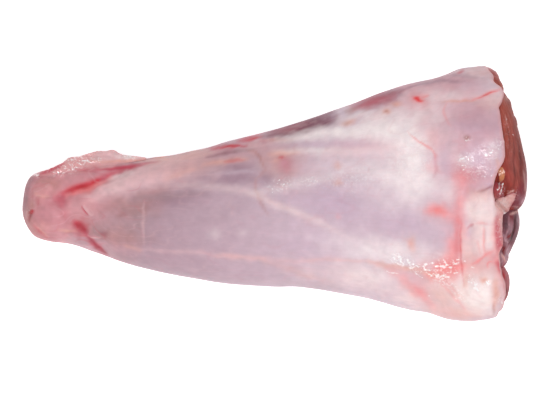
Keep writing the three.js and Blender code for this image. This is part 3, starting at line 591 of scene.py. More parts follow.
    ("cream edge of the block", "cream", ((183.2, 1), (183, -6), (183.1, -14), (183.2, -22)), 1.2, 2, 0.6, 0),
    ("red root of the collar", "rose", ((184.7, -7), (184.7, -13), (184.8, -18), (185.2, -25)),
     1.5, 2, 0.6, -0.1),
    ("coral side of the block", "coral", ((184.2, -9), (184.2, -15), (184.4, -20), (184.8, -27)),
     2.4, 2, 0.45, 0),
    ("upper red bit of the collar", "blood", ((186.4, -16.2), (186.7, -17.2), (186.6, -18.4)),
     0.9, 2.5, 0.85, -0.1),
    ("lower red bit of the collar", "blood", ((186.3, -19.2), (186.8, -20.2), (187.2, -21.6)),
     1.1, 2.5, 0.85, -0.1),
    ("left edge of the collar", "rose", ((184.8, -8), (184.9, -11), (184.7, -14), (184.9, -17),
      (184.8, -20.6)), 0.8, 2, 0.5, -0.15),
    # Painted highlight: a white glint on the collar.
    ("white speck of the collar", "tendon", ((186.3, -17.6), (186.6, -18.2)), 0.5, 2.5, 0.9, 0.1),
    ("raw foot of the collar", "rose", ((185.8, -17.4), (186.2, -20), (186.3, -23.4)), 1.8, 2, 0.5, 0),
    ("red face of the collar", "rose", ((186, -11.6), (185.9, -16), (186, -19), (186.4, -22.6)),
     2.8, 2, 0.6, 0),
    ("coral corner of the block", "coral", ((181, -22.6), (183.6, -24.6), (185.4, -28.6)), 3.6, 2, 0.55, 0),
    ("red notch of the knob", "rose", ((185.4, -26), (186.3, -29), (187.2, -32.4)), 2.0, 2, 0.7, 0),
    ("pale rim of the collar", "tendon", ((187.1, -9), (187, -13), (186.8, -16.6)), 0.9, 2, 0.5, 0),
)

# Where the film is wet and wrinkled, with painted highlights of white specks: middle (along, across), half
# size, turn in degrees, strength.
WET = (
    ((20, 11.6), (6.5, 2.8), 25, 1.0),
    ((13.2, 7.9), (2.2, 1.4), 0, 1.0),
    ((27.6, 12.8), (3.6, 0.9), 8, 0.9),
    ((41.5, 14.1), (3, 0.8), 0, 0.8),
    ((6, 6.8), (1.2, 0.8), 0, 0.8),
    ((2.6, -7.4), (0.8, 1.6), 0, 0.3),
    ((100.5, 3.2), (5, 2.4), 10, 0.5),
    ((113, 4.8), (4, 1.6), 5, 0.5),
    ((130, 5.6), (10, 4), 8, 0.3),
    ((152, 13), (9, 8), 0, 0.3),
    ((147, -25.8), (5, 2), -12, 1.0),
    ((154.6, -29.3), (4, 1.7), -15, 1.0),
    ((165.5, -28.2), (5.5, 3.2), 0, 0.6),
    ((163, -33.4), (4, 2.4), -30, 0.9),
    ((169.4, -38), (5, 1.4), -47, 0.7),
    ((173.6, 13.2), (3.4, 2.6), 0, 0.7),
    ((182.6, 15.8), (3.2, 2.4), 0, 0.7),
    ((185.8, 18.6), (1.6, 2.8), 0, 0.6),
    ((178, 12), (9.5, 6.4), 6, 0.2),
    ((183.4, 17), (3.4, 4), 0, 0.4),
    ((178, 8), (7, 3), 0, 0.4),
    ((173.8, 21), (1.2, 0.8), 0, 0.8),
    ((177.5, -36.4), (1.7, 2.8), 25, 0.5),
    ((182, -35.2), (1.4, 1.2), 0, 0.9),
    ((175.4, -33.2), (1.8, 1.2), 0, 0.7),
    ((186, -15), (1.4, 7), 0, 0.4),
    ((186, -41.5), (1.4, 2), 0, 0.6),
)

# Painted highlights: beads and threads of wet white film, painted where glints show: course as seen, width,
# strength.
PAINTED_GLINTS = (
    (((145.2, -25), (145.8, -26.4), (146.4, -27.6)), 1.2, 0.9),
    (((147, -24.6), (147.8, -26.4), (148.2, -28.2)), 1.6, 1.0),
    (((150.4, -26.4), (151.2, -27.6), (151.6, -28.6)), 1.4, 0.9),
    (((152.4, -27.6), (153.2, -28.4), (154.2, -28.6)), 0.9, 1.0),
    (((155, -28.2), (156.4, -28.6), (157.4, -28.3)), 0.9, 1.0),
    (((156, -27.8), (158.5, -27.6), (161.6, -27)), 0.7, 0.9),
    (((150.8, -29.2), (151.8, -30), (152.4, -29.2)), 0.7, 1.0),
    (((156.6, -29.4), (157.4, -30.2), (159.4, -30)), 0.8, 1.0),
    (((152, -29.8), (153.4, -31.4), (155, -32.6), (156.4, -33.4)), 0.5, 1.0),
    (((141.4, -30.2), (143, -31), (144.6, -31.4), (146.8, -31.6)), 0.5, 1.0),
    (((161.4, -28.4), (163.2, -28.7), (164.8, -28.7), (165.8, -28.2)), 1.1, 1.0),
    (((164.2, -25.8), (164.9, -27), (165.4, -28)), 0.8, 1.0),
    (((165.8, -28.6), (166.8, -29.4), (167.6, -28.9)), 0.8, 1.0),
    (((161, -30.2), (162.6, -30.5), (164, -29.6)), 0.9, 1.0),
    (((160.4, -31.8), (161.8, -32.6), (163.4, -32.6), (164.6, -32.4)), 1.5, 1.0),
    (((161.6, -33.4), (163, -33.8), (164.4, -33.6)), 0.9, 0.9),
    (((165, -33), (166.6, -32.8)), 0.8, 1.0),
    (((165, -30.8), (166.2, -31.2), (167.4, -30.8)), 0.6, 1.0),
    (((168, -27.6), (169, -28.1), (170.3, -27)), 1.0, 1.0),
    (((168.2, -26.2), (168.8, -27.2)), 0.7, 0.9),
    (((169.6, -26.3), (170.5, -26)), 0.6, 0.9),
    (((168.2, -31.2), (169.4, -31.5), (170.4, -30.8)), 0.6, 1.0),
    (((170.8, -32), (171.7, -33)), 0.6, 0.9),
    (((158.6, -31.7), (159.6, -32.4)), 0.7, 1.0),
    (((162, -34.4), (163, -34.9), (163.8, -36)), 0.6, 0.8),
    (((158.6, -39.8), (159.5, -40.6)), 0.6, 1.0),
    (((168.6, -40.5), (169.4, -41.4)), 0.6, 1.0),
    (((170.3, -42.6), (170.8, -43.4)), 0.8, 0.8),
    (((177.2, -35), (176.9, -36.6), (178, -37.8)), 1.5, 1.0),
    (((181.2, -34.6), (182, -35.4)), 0.9, 1.0),
    (((173.4, -31.2), (174.6, -31.7)), 0.5, 1.0),
    (((174.2, -34.3), (175.6, -34.9)), 0.5, 1.0),
    (((172.3, -26.4), (173.3, -27)), 0.6, 1.0),
    (((175.2, -28.9), (176.5, -29.2)), 0.5, 0.9),
    (((186.6, -42.2), (187.2, -42.8)), 0.8, 0.9),
    (((171.2, 13.2), (172, 13.8), (172.9, 13.4)), 1.3, 0.8),
    (((174.3, 14), (175, 13.6), (175.4, 12.8)), 1.0, 0.8),
    (((168.8, 13), (170.2, 12.8), (171.2, 13.2)), 0.7, 0.8),
    (((171.6, 10.8), (172.4, 11.1), (173.4, 10.7)), 0.6, 1.0),
    (((171.9, 9), (172.3, 9.4)), 0.6, 0.9),
    (((174.5, 8.3), (175.2, 8.6)), 0.5, 0.9),
    (((180, 15.2), (181.4, 15.2), (182.4, 15.8), (184.4, 15.9)), 0.8, 0.8),
    (((182.6, 16.5), (184, 17)), 0.9, 0.7),
    (((180.6, 14.4), (181.5, 14.5)), 0.7, 0.8),
    (((185.6, 17), (186.4, 18.4), (186.6, 19.8)), 1.2, 0.6),
    (((182.6, 6.4), (183, 6.9)), 0.6, 0.9),
    (((182.4, 9.2), (183.2, 9.8)), 0.6, 0.8),
    (((180.1, 6.2), (180.5, 6.5)), 0.5, 0.8),
    (((172.8, 20.5), (173.6, 20.3), (174.5, 20.7)), 0.6, 1.0),
    (((19.4, 13), (20.4, 13.2), (21.3, 12.9)), 0.6, 1.0),
    (((22.8, 13.3), (23.3, 13)), 0.6, 0.9),
    (((23.3, 12.5), (24.4, 12.8), (25.5, 12.6), (26.6, 12.1)), 0.8, 1.0),
    (((28.3, 12.6), (29.9, 12.7)), 0.4, 1.0),
    (((18.1, 11.6), (18.6, 11), (19, 10.7)), 0.8, 0.9),
    (((21.4, 11.8), (22.4, 11.6), (22.9, 11.1)), 0.6, 1.0),
    (((16.4, 10.9), (17, 10.1)), 0.5, 0.9),
    (((20.7, 10.1), (21.4, 10)), 0.6, 0.9),
    (((14.2, 7.9), (14.2, 6.8)), 0.8, 1.0),
    (((13.2, 8.7), (13.7, 8.5)), 0.6, 0.8),
    (((11.7, 7.8), (12.1, 8.1)), 0.5, 0.8),
    (((29.8, 13.8), (30.2, 14.1)), 0.6, 0.8),
    (((31.4, 13.9), (32.2, 14)), 0.5, 0.8),
    (((5.6, 6.4), (6.3, 7)), 0.7, 1.0),
    (((41, 14.3), (42.6, 14.2)), 0.6, 0.9),
    (((97.4, 2.1), (98, 1.5)), 0.5, 0.9),
    (((99.8, 4.7), (101.2, 5.3)), 0.5, 0.9),
    (((99.4, 3.8), (100.4, 3.3)), 0.5, 0.9),
    (((101.8, 3.7), (102.6, 3.3)), 0.5, 0.9),
    (((97, 0.7), (97.6, 0.3)), 0.5, 0.8),
    (((186.1, -0.8), (186.7, 0.6), (187.2, 2.2), (187.6, 3.8)), 0.5, 1.0),
    (((185.4, 1.2), (186.1, 1.8)), 0.6, 1.0),
    (((186.2, -10.2), (186.6, -10.8)), 0.6, 0.9),
    (((185.6, -6.8), (186.2, -7.2)), 0.6, 0.9),
    (((188.7, 29.3), (189, 28.3)), 0.5, 0.8),
    (((191.2, 23.6), (191.5, 22.4)), 0.5, 0.8),
)

# The sheath's plain tissue along the leg
BASE_TISSUE = (
    (4, "knuckle"), (26, "ankle"), (46, "silverskin"), (58, "silverskin"), (112, "pale_silverskin"),
)

# Bellies of lean: name, tissue, middle (along, across, up), half size, turn about the upright.
BELLIES = (
    ("main_belly", "red", (182.6, 17.4, 27), (11.0, 26.2, 30.5), 12.5),
    ("far_tip", "red", (186.0, 33.0, 24), (3.6, 4.4, 22), 6),
    ("far_lobe", "red", (187.2, 26.4, 24), (4.6, 4.4, 23), 10),
    ("notch_belly", "wine", (180.6, 0.4, 38), (6.4, 7.0, 18.6), 0),
    ("inner_belly", "mauve", (176.2, -16.5, 24), (14.8, 19.4, 24), -25.7),
    ("middle_lobe", "mauve", (177.2, -14, 30), (13.6, 6.4, 21), -10),
    ("lower_lobe", "mauve", (175.6, -21, 28), (13.6, 5.4, 20), -24),
    ("knob_strip", "rosy", (177.2, -35.2, 21), (12.2, 10.3, 22), -5.2),
    ("top_strip", "salmon", (175.3, 36.7, 27), (12.2, 6.2, 17), 31),
)
BELLY_FULLNESS = 2.7
BELLY_COLUMNS = 256
BELLY_ROWS = 100

# The lean's lowest height, and how far behind the cut the skin's reach is read for it
LEAN_FOOT = 0.4
LEAN_BACK = 6.0

# Patches and streaks on the lean, as those of the sheath.
LEAN_PATCHES = (
    ("salmon upper lean", "salmon", (188.4, 31), (2.6, 6), 8, 2, 0.85, 0),
    ("bright edge of the lean", "salmon", (188.6, 21), (1.3, 6), 5, 2, 0.45, 0),
    ("bloom of the lean", "film", (192, 14), (2.4, 9), 6, 2, 0.14, 0),
    ("filmy top", "film", (189, 36.8), (1.4, 1.2), 0, 2, 0.35, 0),
    ("pink wedge of lean", "bright", (184.4, 45.4), (3, 4), -30, 2, 0.35, 0),
    # Painted shade at the lean's outer edge, where it turns from the light.
    ("dark outer edge", "dark", (195.4, 12), (1.4, 11), 6, 2, 0.25, 0),
    ("veil of the outer edge", "veil", (197, 3), (0.9, 5), 0, 2, 0.6, 0),
    ("dark red end", "purple", (193.4, -3), (2.8, 3.4), -25, 3, 0.95, 0),
    ("dark top of the end", "purple", (194.8, 1.2), (1.5, 2.2), 0, 2.5, 0.85, 0),
    ("veil of the end", "veil", (195.5, -3.2), (1.2, 2.0), 35, 2, 0.55, 0),
    # Painted shade in the notch.
    ("deep notch", "dark", (185.6, 3.6), (0.9, 1.3), 0, 2.5, 0.45, 0),
    ("light notch", "salmon", (184, -1.6), (1.2, 1.4), 0, 2, 0.7, 0),
    ("pink foot of the notch", "film", (184.4, -3.4), (1.4, 0.9), 0, 2, 0.8, 0),
    # Painted shadow in the slot beside the collar.
    ("dark slot", "slate", (188.5, -12.5), (1.0, 3.6), 0, 2.5, 0.95, 0),
    ("red cell", "clot", (190.7, -9.9), (1.2, 1.5), 0, 3, 0.95, 0),
    ("pink cell", "veil", (190.6, -13.2), (1.0, 2.6), 0, 2.5, 0.6, 0),
    ("right cell", "slate", (192.8, -10.4), (0.8, 3.2), 8, 2.5, 0.95, 0),
    ("rim of the inner belly", "veil", (193.9, -11.6), (0.6, 3.4), 8, 2, 0.75, 0),
    ("dark middle", "slate", (191.2, -17.4), (0.9, 2.4), -20, 2.5, 0.8, 0),
    ("film of the foot", "veil", (189.3, -23), (1.2, 3.0), 18, 2.5, 1.0, 0),
    ("film above the foot", "veil", (187.7, -25.6), (1.2, 2.4), 10, 2, 0.75, 0),
    ("veil beside the collar", "veil", (186.9, -24.2), (1.1, 1.8), 0, 2, 0.75, 0),
    ("red root of the foot", "clot", (187.7, -21.9), (0.8, 1.7), -10, 2.5, 1.0, 0),
    ("orange bit between the cells", "bright", (190.1, -16.7), (0.6, 0.4), 30, 2, 0.7, 0),
    ("blood of the strip", "bright", (187.9, -34), (0.6, 7), 0, 2.5, 0.9, 0),
    ("clot of the strip", "clot", (188.8, -37.6), (0.5, 1.8), 0, 2.5, 0.9, 0),
)
LEAN_STREAKS = (
    ("first septum", "veil", ((189.5, -8.6), (189.6, -12), (189.3, -15), (188.6, -18)), 0.5, 2, 0.6, 0.1),
    # Painted shade in the gap between two cells.
    ("second septum", "dark", ((192.2, -8), (192.2, -11), (191.9, -14), (191.2, -16.4), (190.4, -19.8)),
     0.8, 2.5, 0.95, -0.2),
    ("first grey strand", "veil", ((187.4, -15.4), (188.4, -17.6), (189.6, -20.2)), 0.8, 2.5, 1.0, 0.25),
    ("second grey strand", "veil", ((188, -15.6), (189, -16.6), (189.8, -18.8)), 0.6, 2, 0.6, 0.1),
    ("cord of the foot", "film", ((186.4, -23.4), (187.4, -24.8), (188.8, -26.5)), 0.7, 2.5, 0.95, 0.25),
    ("red line between the cells", "clot", ((189.2, -17.5), (190.2, -16.6), (191.4, -14.9)),
     0.6, 2.5, 0.8, -0.1),
    ("lower edge of the end", "film", ((189.6, -8.2), (191, -8), (192.6, -7.2), (194, -6)),
     0.7, 2, 0.85, 0.1),
    ("thread of the end", "film", ((190.6, -5), (192.6, -5.6), (194.4, -5.2)), 0.5, 2, 0.4, 0),
    ("rim of the end", "veil", ((194.2, -4.6), (195.6, -3), (196.2, -1.2), (196.4, 0.8)), 0.7, 2, 0.7, 0.1),
    ("arc of the end", "film", ((189, -0.4), (190.6, 0.4), (191.8, 0.8), (192.8, 0.3)), 0.6, 2, 0.8, 0.1),
    ("first stripe of the lean", "dark", ((190.6, 23), (192.3, 16), (191.8, 10), (191.9, 3)),
     0.7, 2, 0.36, -0.1),
    ("second stripe of the lean", "dark", ((192.8, 22), (194.6, 13), (194.4, 4)), 0.8, 2, 0.4, -0.1),
    ("third stripe of the lean", "dark", ((189, 28), (190.2, 20), (189.4, 13)), 0.6, 2, 0.26, -0.1),
    ("fourth stripe of the lean", "salmon", ((193, 22), (193.4, 14), (193.2, 7)), 0.8, 2, 0.35, 0),
    ("fifth stripe of the lean", "salmon", ((190.6, 30), (191.2, 22), (191, 13)), 0.7, 2, 0.5, 0.05),
    ("sixth stripe of the lean", "film", ((195.4, 9), (196, 4), (196, -1)), 0.5, 2, 0.45, 0.05),
    ("seventh stripe of the lean", "film", ((188.8, 30.4), (189, 28.6), (189, 26.6)), 0.5, 2, 0.45, 0),
)
# Where the lean is wet, with painted highlights of white specks: middle (along, across), half size, turn in
# degrees, strength.
LEAN_WET = (
    ((186.8, 1.6), (1.2, 3), 0, 0.8),
    ((191, -1), (2, 2), 0, 0.5),
    ((189.2, 24), (1.2, 8), 8, 0.14),
)

# Pieces that hang over the lean: name, course as seen, half widths along it, tint, share of thickness.
FILMS = (
    ("membrane_fan", ((184.4, -6.8), (185.8, -6.0), (187.3, -4.8), (188.8, -3.6), (190.3, -2.2), (192.2, 0)),
     (2.2, 3.0, 3.0, 2.4, 1.5, 0.4), "film", 1.0),
    ("fat_bit", ((186.3, 10.8), (186.6, 9.4), (187, 8), (187.1, 6.6), (186.8, 5.4), (186.5, 4.4)),
     (0.7, 1.25, 1.5, 1.35, 1.0, 0.4), "stained_fat", 1.6),
)
FILM_STEPS = 60
FILM_WIDTHS = 30
FILM_SETTLING = 40


def smoothstep(low, high, value):
    """0 below low, 1 above high, smooth between."""
    share = np.clip((value - low) / (high - low), 0, 1)
    return share * share * (3 - 2 * share)


def cloud(points, size, seed):
    """Smooth random values from -1 to 1 that change over about one size."""
    lattice = np.random.default_rng(seed).uniform(-1, 1, (32, 32, 32))
    scaled = points / np.asarray(size, float)
    base = np.floor(scaled).astype(int)
    part = scaled - base
    part = part * part * (3 - 2 * part)
    total = np.zeros(len(points))
    for corner in np.ndindex(2, 2, 2):
        weight = np.prod(np.where(corner, part, 1 - part), axis=1)
        cell = (base + corner) % 32
        total += weight * lattice[cell[:, 0], cell[:, 1], cell[:, 2]]
    return total


def points_of(obj):
    """A mesh's points in mm."""
    flat = np.empty(len(obj.data.vertices) * 3)
    obj.data.vertices.foreach_get("co", flat)
    return flat.reshape(-1, 3) / MM


def set_points(obj, points):
    """Put a mesh's points at places in mm."""
    obj.data.vertices.foreach_set("co", (points * MM).ravel())
    obj.data.update()


def normals_of(obj):
    """A mesh's normals at its points."""
    flat = np.empty(len(obj.data.vertices) * 3)
    obj.data.vertex_normals.foreach_get("vector", flat)
    return flat.reshape(-1, 3)


def set_attribute(obj, name, values):
    """Keep a number or a colour for each point of a mesh."""
    kind, field = ("FLOAT", "value") if values.ndim == 1 else ("FLOAT_COLOR", "color")
    if values.ndim == 2:
        values = np.column_stack([values, np.ones(len(values))])
    obj.data.attributes.new(name, kind, "POINT").data.foreach_set(field, values.ravel())


def keep_finish(obj, tint, wet, bead):
    """Keep what the materials read: the tissue's colour, how wet it is and where the painted highlights lie.
    """
    for name, values in (("tissue", tint), ("wet", wet), ("bead", bead)):
        set_attribute(obj, name, values)


def seen_from_above(points):
    """Places along and across, as the viewer sees points given in mm."""
    scale = (EYE.z - SEEN_LEVEL) / (EYE.z - points[:, 2])
    along = EYE.x + (points[:, 0] - EYE.x) * scale - SEEN_ZERO
    across = EYE.y + (points[:, 1] - EYE.y) * scale
    return np.column_stack([along, across])


def surface_of(objects):
    """The faces of some objects, for casting rays, in mm."""
    corners, faces = [], []
    for obj in objects:
        start = len(corners)
        corners += [vertex.co / MM for vertex in obj.data.vertices]
        faces += [[start + index for index in face.vertices] for face in obj.data.polygons]
    return BVHTree.FromPolygons(corners, faces)


def rounded(course):
    """A course with its corners cut off twice."""
    course = np.array(course, float)
    for _ in range(2):
        steps = np.diff(course, axis=0)
        cut = np.stack([course[:-1] + 0.25 * steps, course[:-1] + 0.75 * steps], axis=1).reshape(-1, 2)
        course = np.vstack([course[:1], cut, course[-1:]])
    return course


def even_steps(course, steps):
    """Places at even steps along a course."""
    course = rounded(course)
    run = np.concatenate([[0], np.cumsum(np.linalg.norm(np.diff(course, axis=0), axis=1))])
    wanted = np.linspace(0, run[-1], steps + 1)
    return np.column_stack([np.interp(wanted, run, axis) for axis in course.T])


def course_distance(places, course):
    """Distance of each place to a course, and the share of the course that lies before it."""
    course = rounded(course)
    legs = np.linalg.norm(np.diff(course, axis=0), axis=1)
    before = np.concatenate([[0], np.cumsum(legs)])
    nearest = np.full(len(places), np.inf)
    share = np.zeros(len(places))
    for start, end, leg, done in zip(course[:-1], course[1:], legs, before):
        part = np.clip((places - start) @ (end - start) / leg**2, 0, 1)
        far = np.linalg.norm(places - start - part[:, None] * (end - start), axis=1)
        closer = far < nearest
        nearest[closer] = far[closer]
        share[closer] = ((done + part * leg) / before[-1])[closer]
    return nearest, share


def bell(far, edge):
    """1 in the middle, a half where far is 1, then nothing. Edge 2 is a bell curve, more is crisper."""
    return np.exp(-math.log(2) * far**edge)


def patch_mask(places, points, middle, half, turn, edge, seed):
    """How much of each place lies in an oval patch with an uneven outline."""
    angle = math.radians(turn)
    off = places - np.array(middle, float)
    along = (off[:, 0] * math.cos(angle) + off[:, 1] * math.sin(angle)) / half[0]
    across = (off[:, 1] * math.cos(angle) - off[:, 0] * math.sin(angle)) / half[1]
    far = np.hypot(along, across)
    close = far < 3
    mask = np.zeros(len(places))
    uneven = 1 + 0.28 * cloud(points[close], 0.6 * min(half) + 0.8, seed)
    mask[close] = bell(far[close] * uneven, edge)
    return mask


def streak_mask(places, points, course, width, edge, seed):
    """How much of each place lies on an uneven streak that thins and fades to its ends."""
    low = np.min(course, axis=0) - 2 * width
    high = np.max(course, axis=0) + 2 * width
    mask = np.zeros(len(places))
    inside = np.all((places > low) & (places < high), axis=1)
    far, share = course_distance(places[inside], course)
    taper = np.sqrt(np.sin(np.pi * np.clip(share, 0, 1)))
    uneven = 1 + 0.35 * cloud(points[inside], 2.4, seed)
    mask[inside] = taper * bell(far / (width / 2 * (0.45 + 0.55 * taper) * uneven), edge)
    return mask


def wash(tint, tints, layers):
    """Lay tissues over a tint, one after the other, each as strong as its mask."""
    for mask, tissue in layers:
        tint += mask[:, None] * (tints[tissue] - tint)


def lay_tissues(points, facing, tints, tint, patches, streaks, seed, waver=0.0):
    """Lay patches and streaks over a plain tint, and give the height in mm that they raise."""
    drift = np.column_stack([cloud(points, 6, seed), cloud(points, 6, seed + 1)])
    drift += 0.5 * np.column_stack([cloud(points, 2, seed + 2), cloud(points, 2, seed + 3)])
    places = seen_from_above(points) + drift * (0.5 + np.broadcast_to(waver, len(points)))[:, None]
    patchy = facing * (1 + 0.2 * cloud(points, 3.5, seed + 4) + 0.14 * cloud(points, 1.3, seed + 5))
    height = np.zeros(len(points))
    layers = [(patch_mask, patch) for patch in patches] + [(streak_mask, streak) for streak in streaks]
    for number, (mask_of, (_, tissue, *shape, edge, strength, rise)) in enumerate(layers, start=seed + 6):
        mask = mask_of(places, points, *shape, edge, number)
        height += rise * facing * mask
        wash(tint, tints, [(np.clip(strength * mask * patchy, 0, 1), tissue)])
    return height


def wetness(points, facing, zones, seed):
    """How wet each point is."""
    places = seen_from_above(points)
    wet = np.zeros(len(points))
    for number, (middle, half, turn, strength) in enumerate(zones, start=seed + 1):
        wet = np.maximum(wet, strength * facing * patch_mask(places, points, middle, half, turn, 3, number))
    return np.clip(wet * (0.85 + 0.45 * cloud(points, 2.5, seed)), 0, 1)


def painted_glint_shares(points, facing):
    """How near each point lies to the painted highlights, beads of white wet film: 1 on their middle lines, a
    half at their edges.
    """
    places = seen_from_above(points)
    near = np.zeros(len(points))
    for course, width, strength in PAINTED_GLINTS:
        low, high = np.min(course, axis=0) - width, np.max(course, axis=0) + width
        inside = np.all((places > low) & (places < high), axis=1)
        far, _ = course_distance(places[inside], course)
        near[inside] = np.maximum(near[inside], strength * np.clip(1 - far / width, 0, 1))
    return near * facing


def tints_of(group):
    """The colours of a property group, by name."""
    return {key: np.array(getattr(group, key)) for key, prop in group.bl_rna.properties.items()
            if getattr(prop, "subtype", "") == "COLOR"}


def seen_point(place, level):
    """The point in mm that the viewer sees at a place, at a height."""
    share = (EYE.z - level) / (EYE.z - SEEN_LEVEL)
    return np.column_stack([
        EYE.x + (place[:, 0] + SEEN_ZERO - EYE.x) * share, EYE.y + (place[:, 1] - EYE.y) * share, level])


def look_down(tree, place):
    """The height in mm of what the viewer sees at a place, or none."""
    target = Vector((place[0] + SEEN_ZERO, place[1], SEEN_LEVEL))
    hit = tree.ray_cast(EYE, (target - EYE).normalized())[0]
    return -math.inf if hit is None else hit.z


def finish_piece(obj, name, material):
    """Name a piece, give it its material, smooth it, and let it ride with the meat."""
    obj.name = obj.data.name = name
    obj.data.materials.clear()
    obj.data.materials.append(material)
    bpy.ops.object.shade_smooth()
    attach(obj, "root")


def apply_modifier(obj, kind, **settings):
    """Add a modifier and apply it."""
    modifier = obj.modifiers.new(kind.title(), kind)
    for key, value in settings.items():
        setattr(modifier, key, value)
    bpy.ops.object.modifier_apply(modifier=modifier.name)


def smooth_part(obj, name, shares, iterations):
    """Smooth part of a mesh. The shares are which points, and how much."""
    group = obj.vertex_groups.new(name=name)
    for chosen, weight in shares:
        group.add(np.flatnonzero(chosen).tolist(), weight, "REPLACE")
    apply_modifier(obj, "SMOOTH", factor=0.5, iterations=iterations, vertex_group=name)


def blank_grid(columns, rows):
    """A flat grid to be wrapped round, with the column and the row of each of its points."""
    bpy.ops.object.select_all(action="DESELECT")
    bpy.ops.mesh.primitive_grid_add(x_subdivisions=columns, y_subdivisions=rows, size=2)
    obj = bpy.context.object
    flat = points_of(obj) * MM
    column = np.rint((flat[:, 0] + 1) / 2 * columns).astype(int)
    row = np.rint((flat[:, 1] + 1) / 2 * rows).astype(int)
    return obj, column, row


def close_up():
    """Merge the active mesh's seam and poles, and turn its faces outwards."""
    bpy.ops.object.mode_set(mode="EDIT")
    bpy.ops.mesh.select_all(action="SELECT")
    bpy.ops.mesh.remove_doubles(threshold=1e-6)
    bpy.ops.mesh.normals_make_consistent(inside=False)
    bpy.ops.object.mode_set(mode="OBJECT")


def take_attribute(obj, name):
    """Read a number kept for each point of a mesh, and drop it from the mesh."""
    attribute = obj.data.attributes[name]
    values = np.empty(len(obj.data.vertices))
    attribute.data.foreach_get("value", values)
    obj.data.attributes.remove(attribute)
    return values


def node(tree, kind, inputs=None, **settings):
    """Add a shader node, with its settings, and fill its sockets with values or links."""
    made = tree.nodes.new(kind)
    for key, value in settings.items():
        setattr(made, key, value)
    for socket, value in (inputs or {}).items():
        if isinstance(value, bpy.types.NodeSocket):
            tree.links.new(value, made.inputs[socket])
        else:
            made.inputs[socket].default_value = value
    return made


def new_material(name):
    """An empty material and its node tree."""
    material = bpy.data.materials.new(name)
    material.use_nodes = True
    material.node_tree.nodes.clear()
    return material, material.node_tree


def rgba(tint):
    """A colour for a socket."""
    return (*tint, 1.0)


# Mix node sockets for colours
FACTOR, FIRST, SECOND, MIXED = 0, 6, 7, 2

# How far apart the materials' patterns repeat
PAINTED_GLINT_RAGS = 0.9 * MM
SKIN_WRINKLES = 1.4 * MM
LEAN_WRINKLES = 1.8 * MM
LEAN_CLOUDS = 4.0 * MM
MEMBRANE_STRINGS = 1.6 * MM
PAPER_GRAIN = 0.6 * MM


def lay_painted_glints(tree, place, tint, wet):
    """Lay painted highlights over a tint: white beads where glints show, and white specks where the film is
    wet. Gives the new tint and where the beads are.
    """
    near = node(tree, "ShaderNodeAttribute", attribute_name="bead").outputs["Fac"]
    ragged = node(tree, "ShaderNodeTexNoise", {
        "Vector": place, "Scale": 1 / PAINTED_GLINT_RAGS, "Detail": 2.0}).outputs["Fac"]
    edge = node(tree, "ShaderNodeMath", {0: ragged, 1: 2.0, 2: near}, operation="MULTIPLY_ADD").outputs[0]
    bead = node(tree, "ShaderNodeMapRange", {
        "Value": edge, "From Min": 1.5, "From Max": 2.0}).outputs["Result"]
    painted_sparkles = node(tree, "ShaderNodeMapRange", {
        "Value": ragged, "From Min": 0.52, "From Max": 0.66, "To Min": 0.0, "To Max": 0.6}).outputs["Result"]
    wet_painted_sparkles = node(tree, "ShaderNodeMath", {0: painted_sparkles, 1: wet}, operation="MULTIPLY").outputs[0]
    solid = node(tree, "ShaderNodeMath", {0: bead, 1: 0.8}, operation="MULTIPLY").outputs[0]
    share = node(tree, "ShaderNodeMath", {0: solid, 1: wet_painted_sparkles}, operation="MAXIMUM").outputs[0]
    # Painted highlight: the tint turns white on the beads and the specks.
    mixed = node(tree, "ShaderNodeMix", {FACTOR: share, FIRST: tint, SECOND: (1.0, 0.98, 0.98, 1.0)},
                 data_type="RGBA").outputs[MIXED]
    return mixed, bead


def shaded(tree, tint, first, second):
    """A tint made lighter or darker by two shares."""
    shade = node(tree, "ShaderNodeMath", {0: first, 1: second}, operation="MULTIPLY").outputs[0]
    return node(tree, "ShaderNodeMix", {FACTOR: 1.0, FIRST: tint, SECOND: shade},
                data_type="RGBA", blend_type="MULTIPLY").outputs[MIXED]


def wrinkled(tree, place, wet, spacing, depth):
    """The normal of small wrinkles in wet film."""
    fine = node(tree, "ShaderNodeTexNoise", {
        "Vector": place, "Scale": 1 / spacing, "Detail": 2.0, "Roughness": 0.5}).outputs["Fac"]
    wet_fine = node(tree, "ShaderNodeMath", {0: fine, 1: wet}, operation="MULTIPLY").outputs[0]
    return node(tree, "ShaderNodeBump", {
        "Strength": 1.0, "Distance": depth, "Height": wet_fine}).outputs["Normal"]


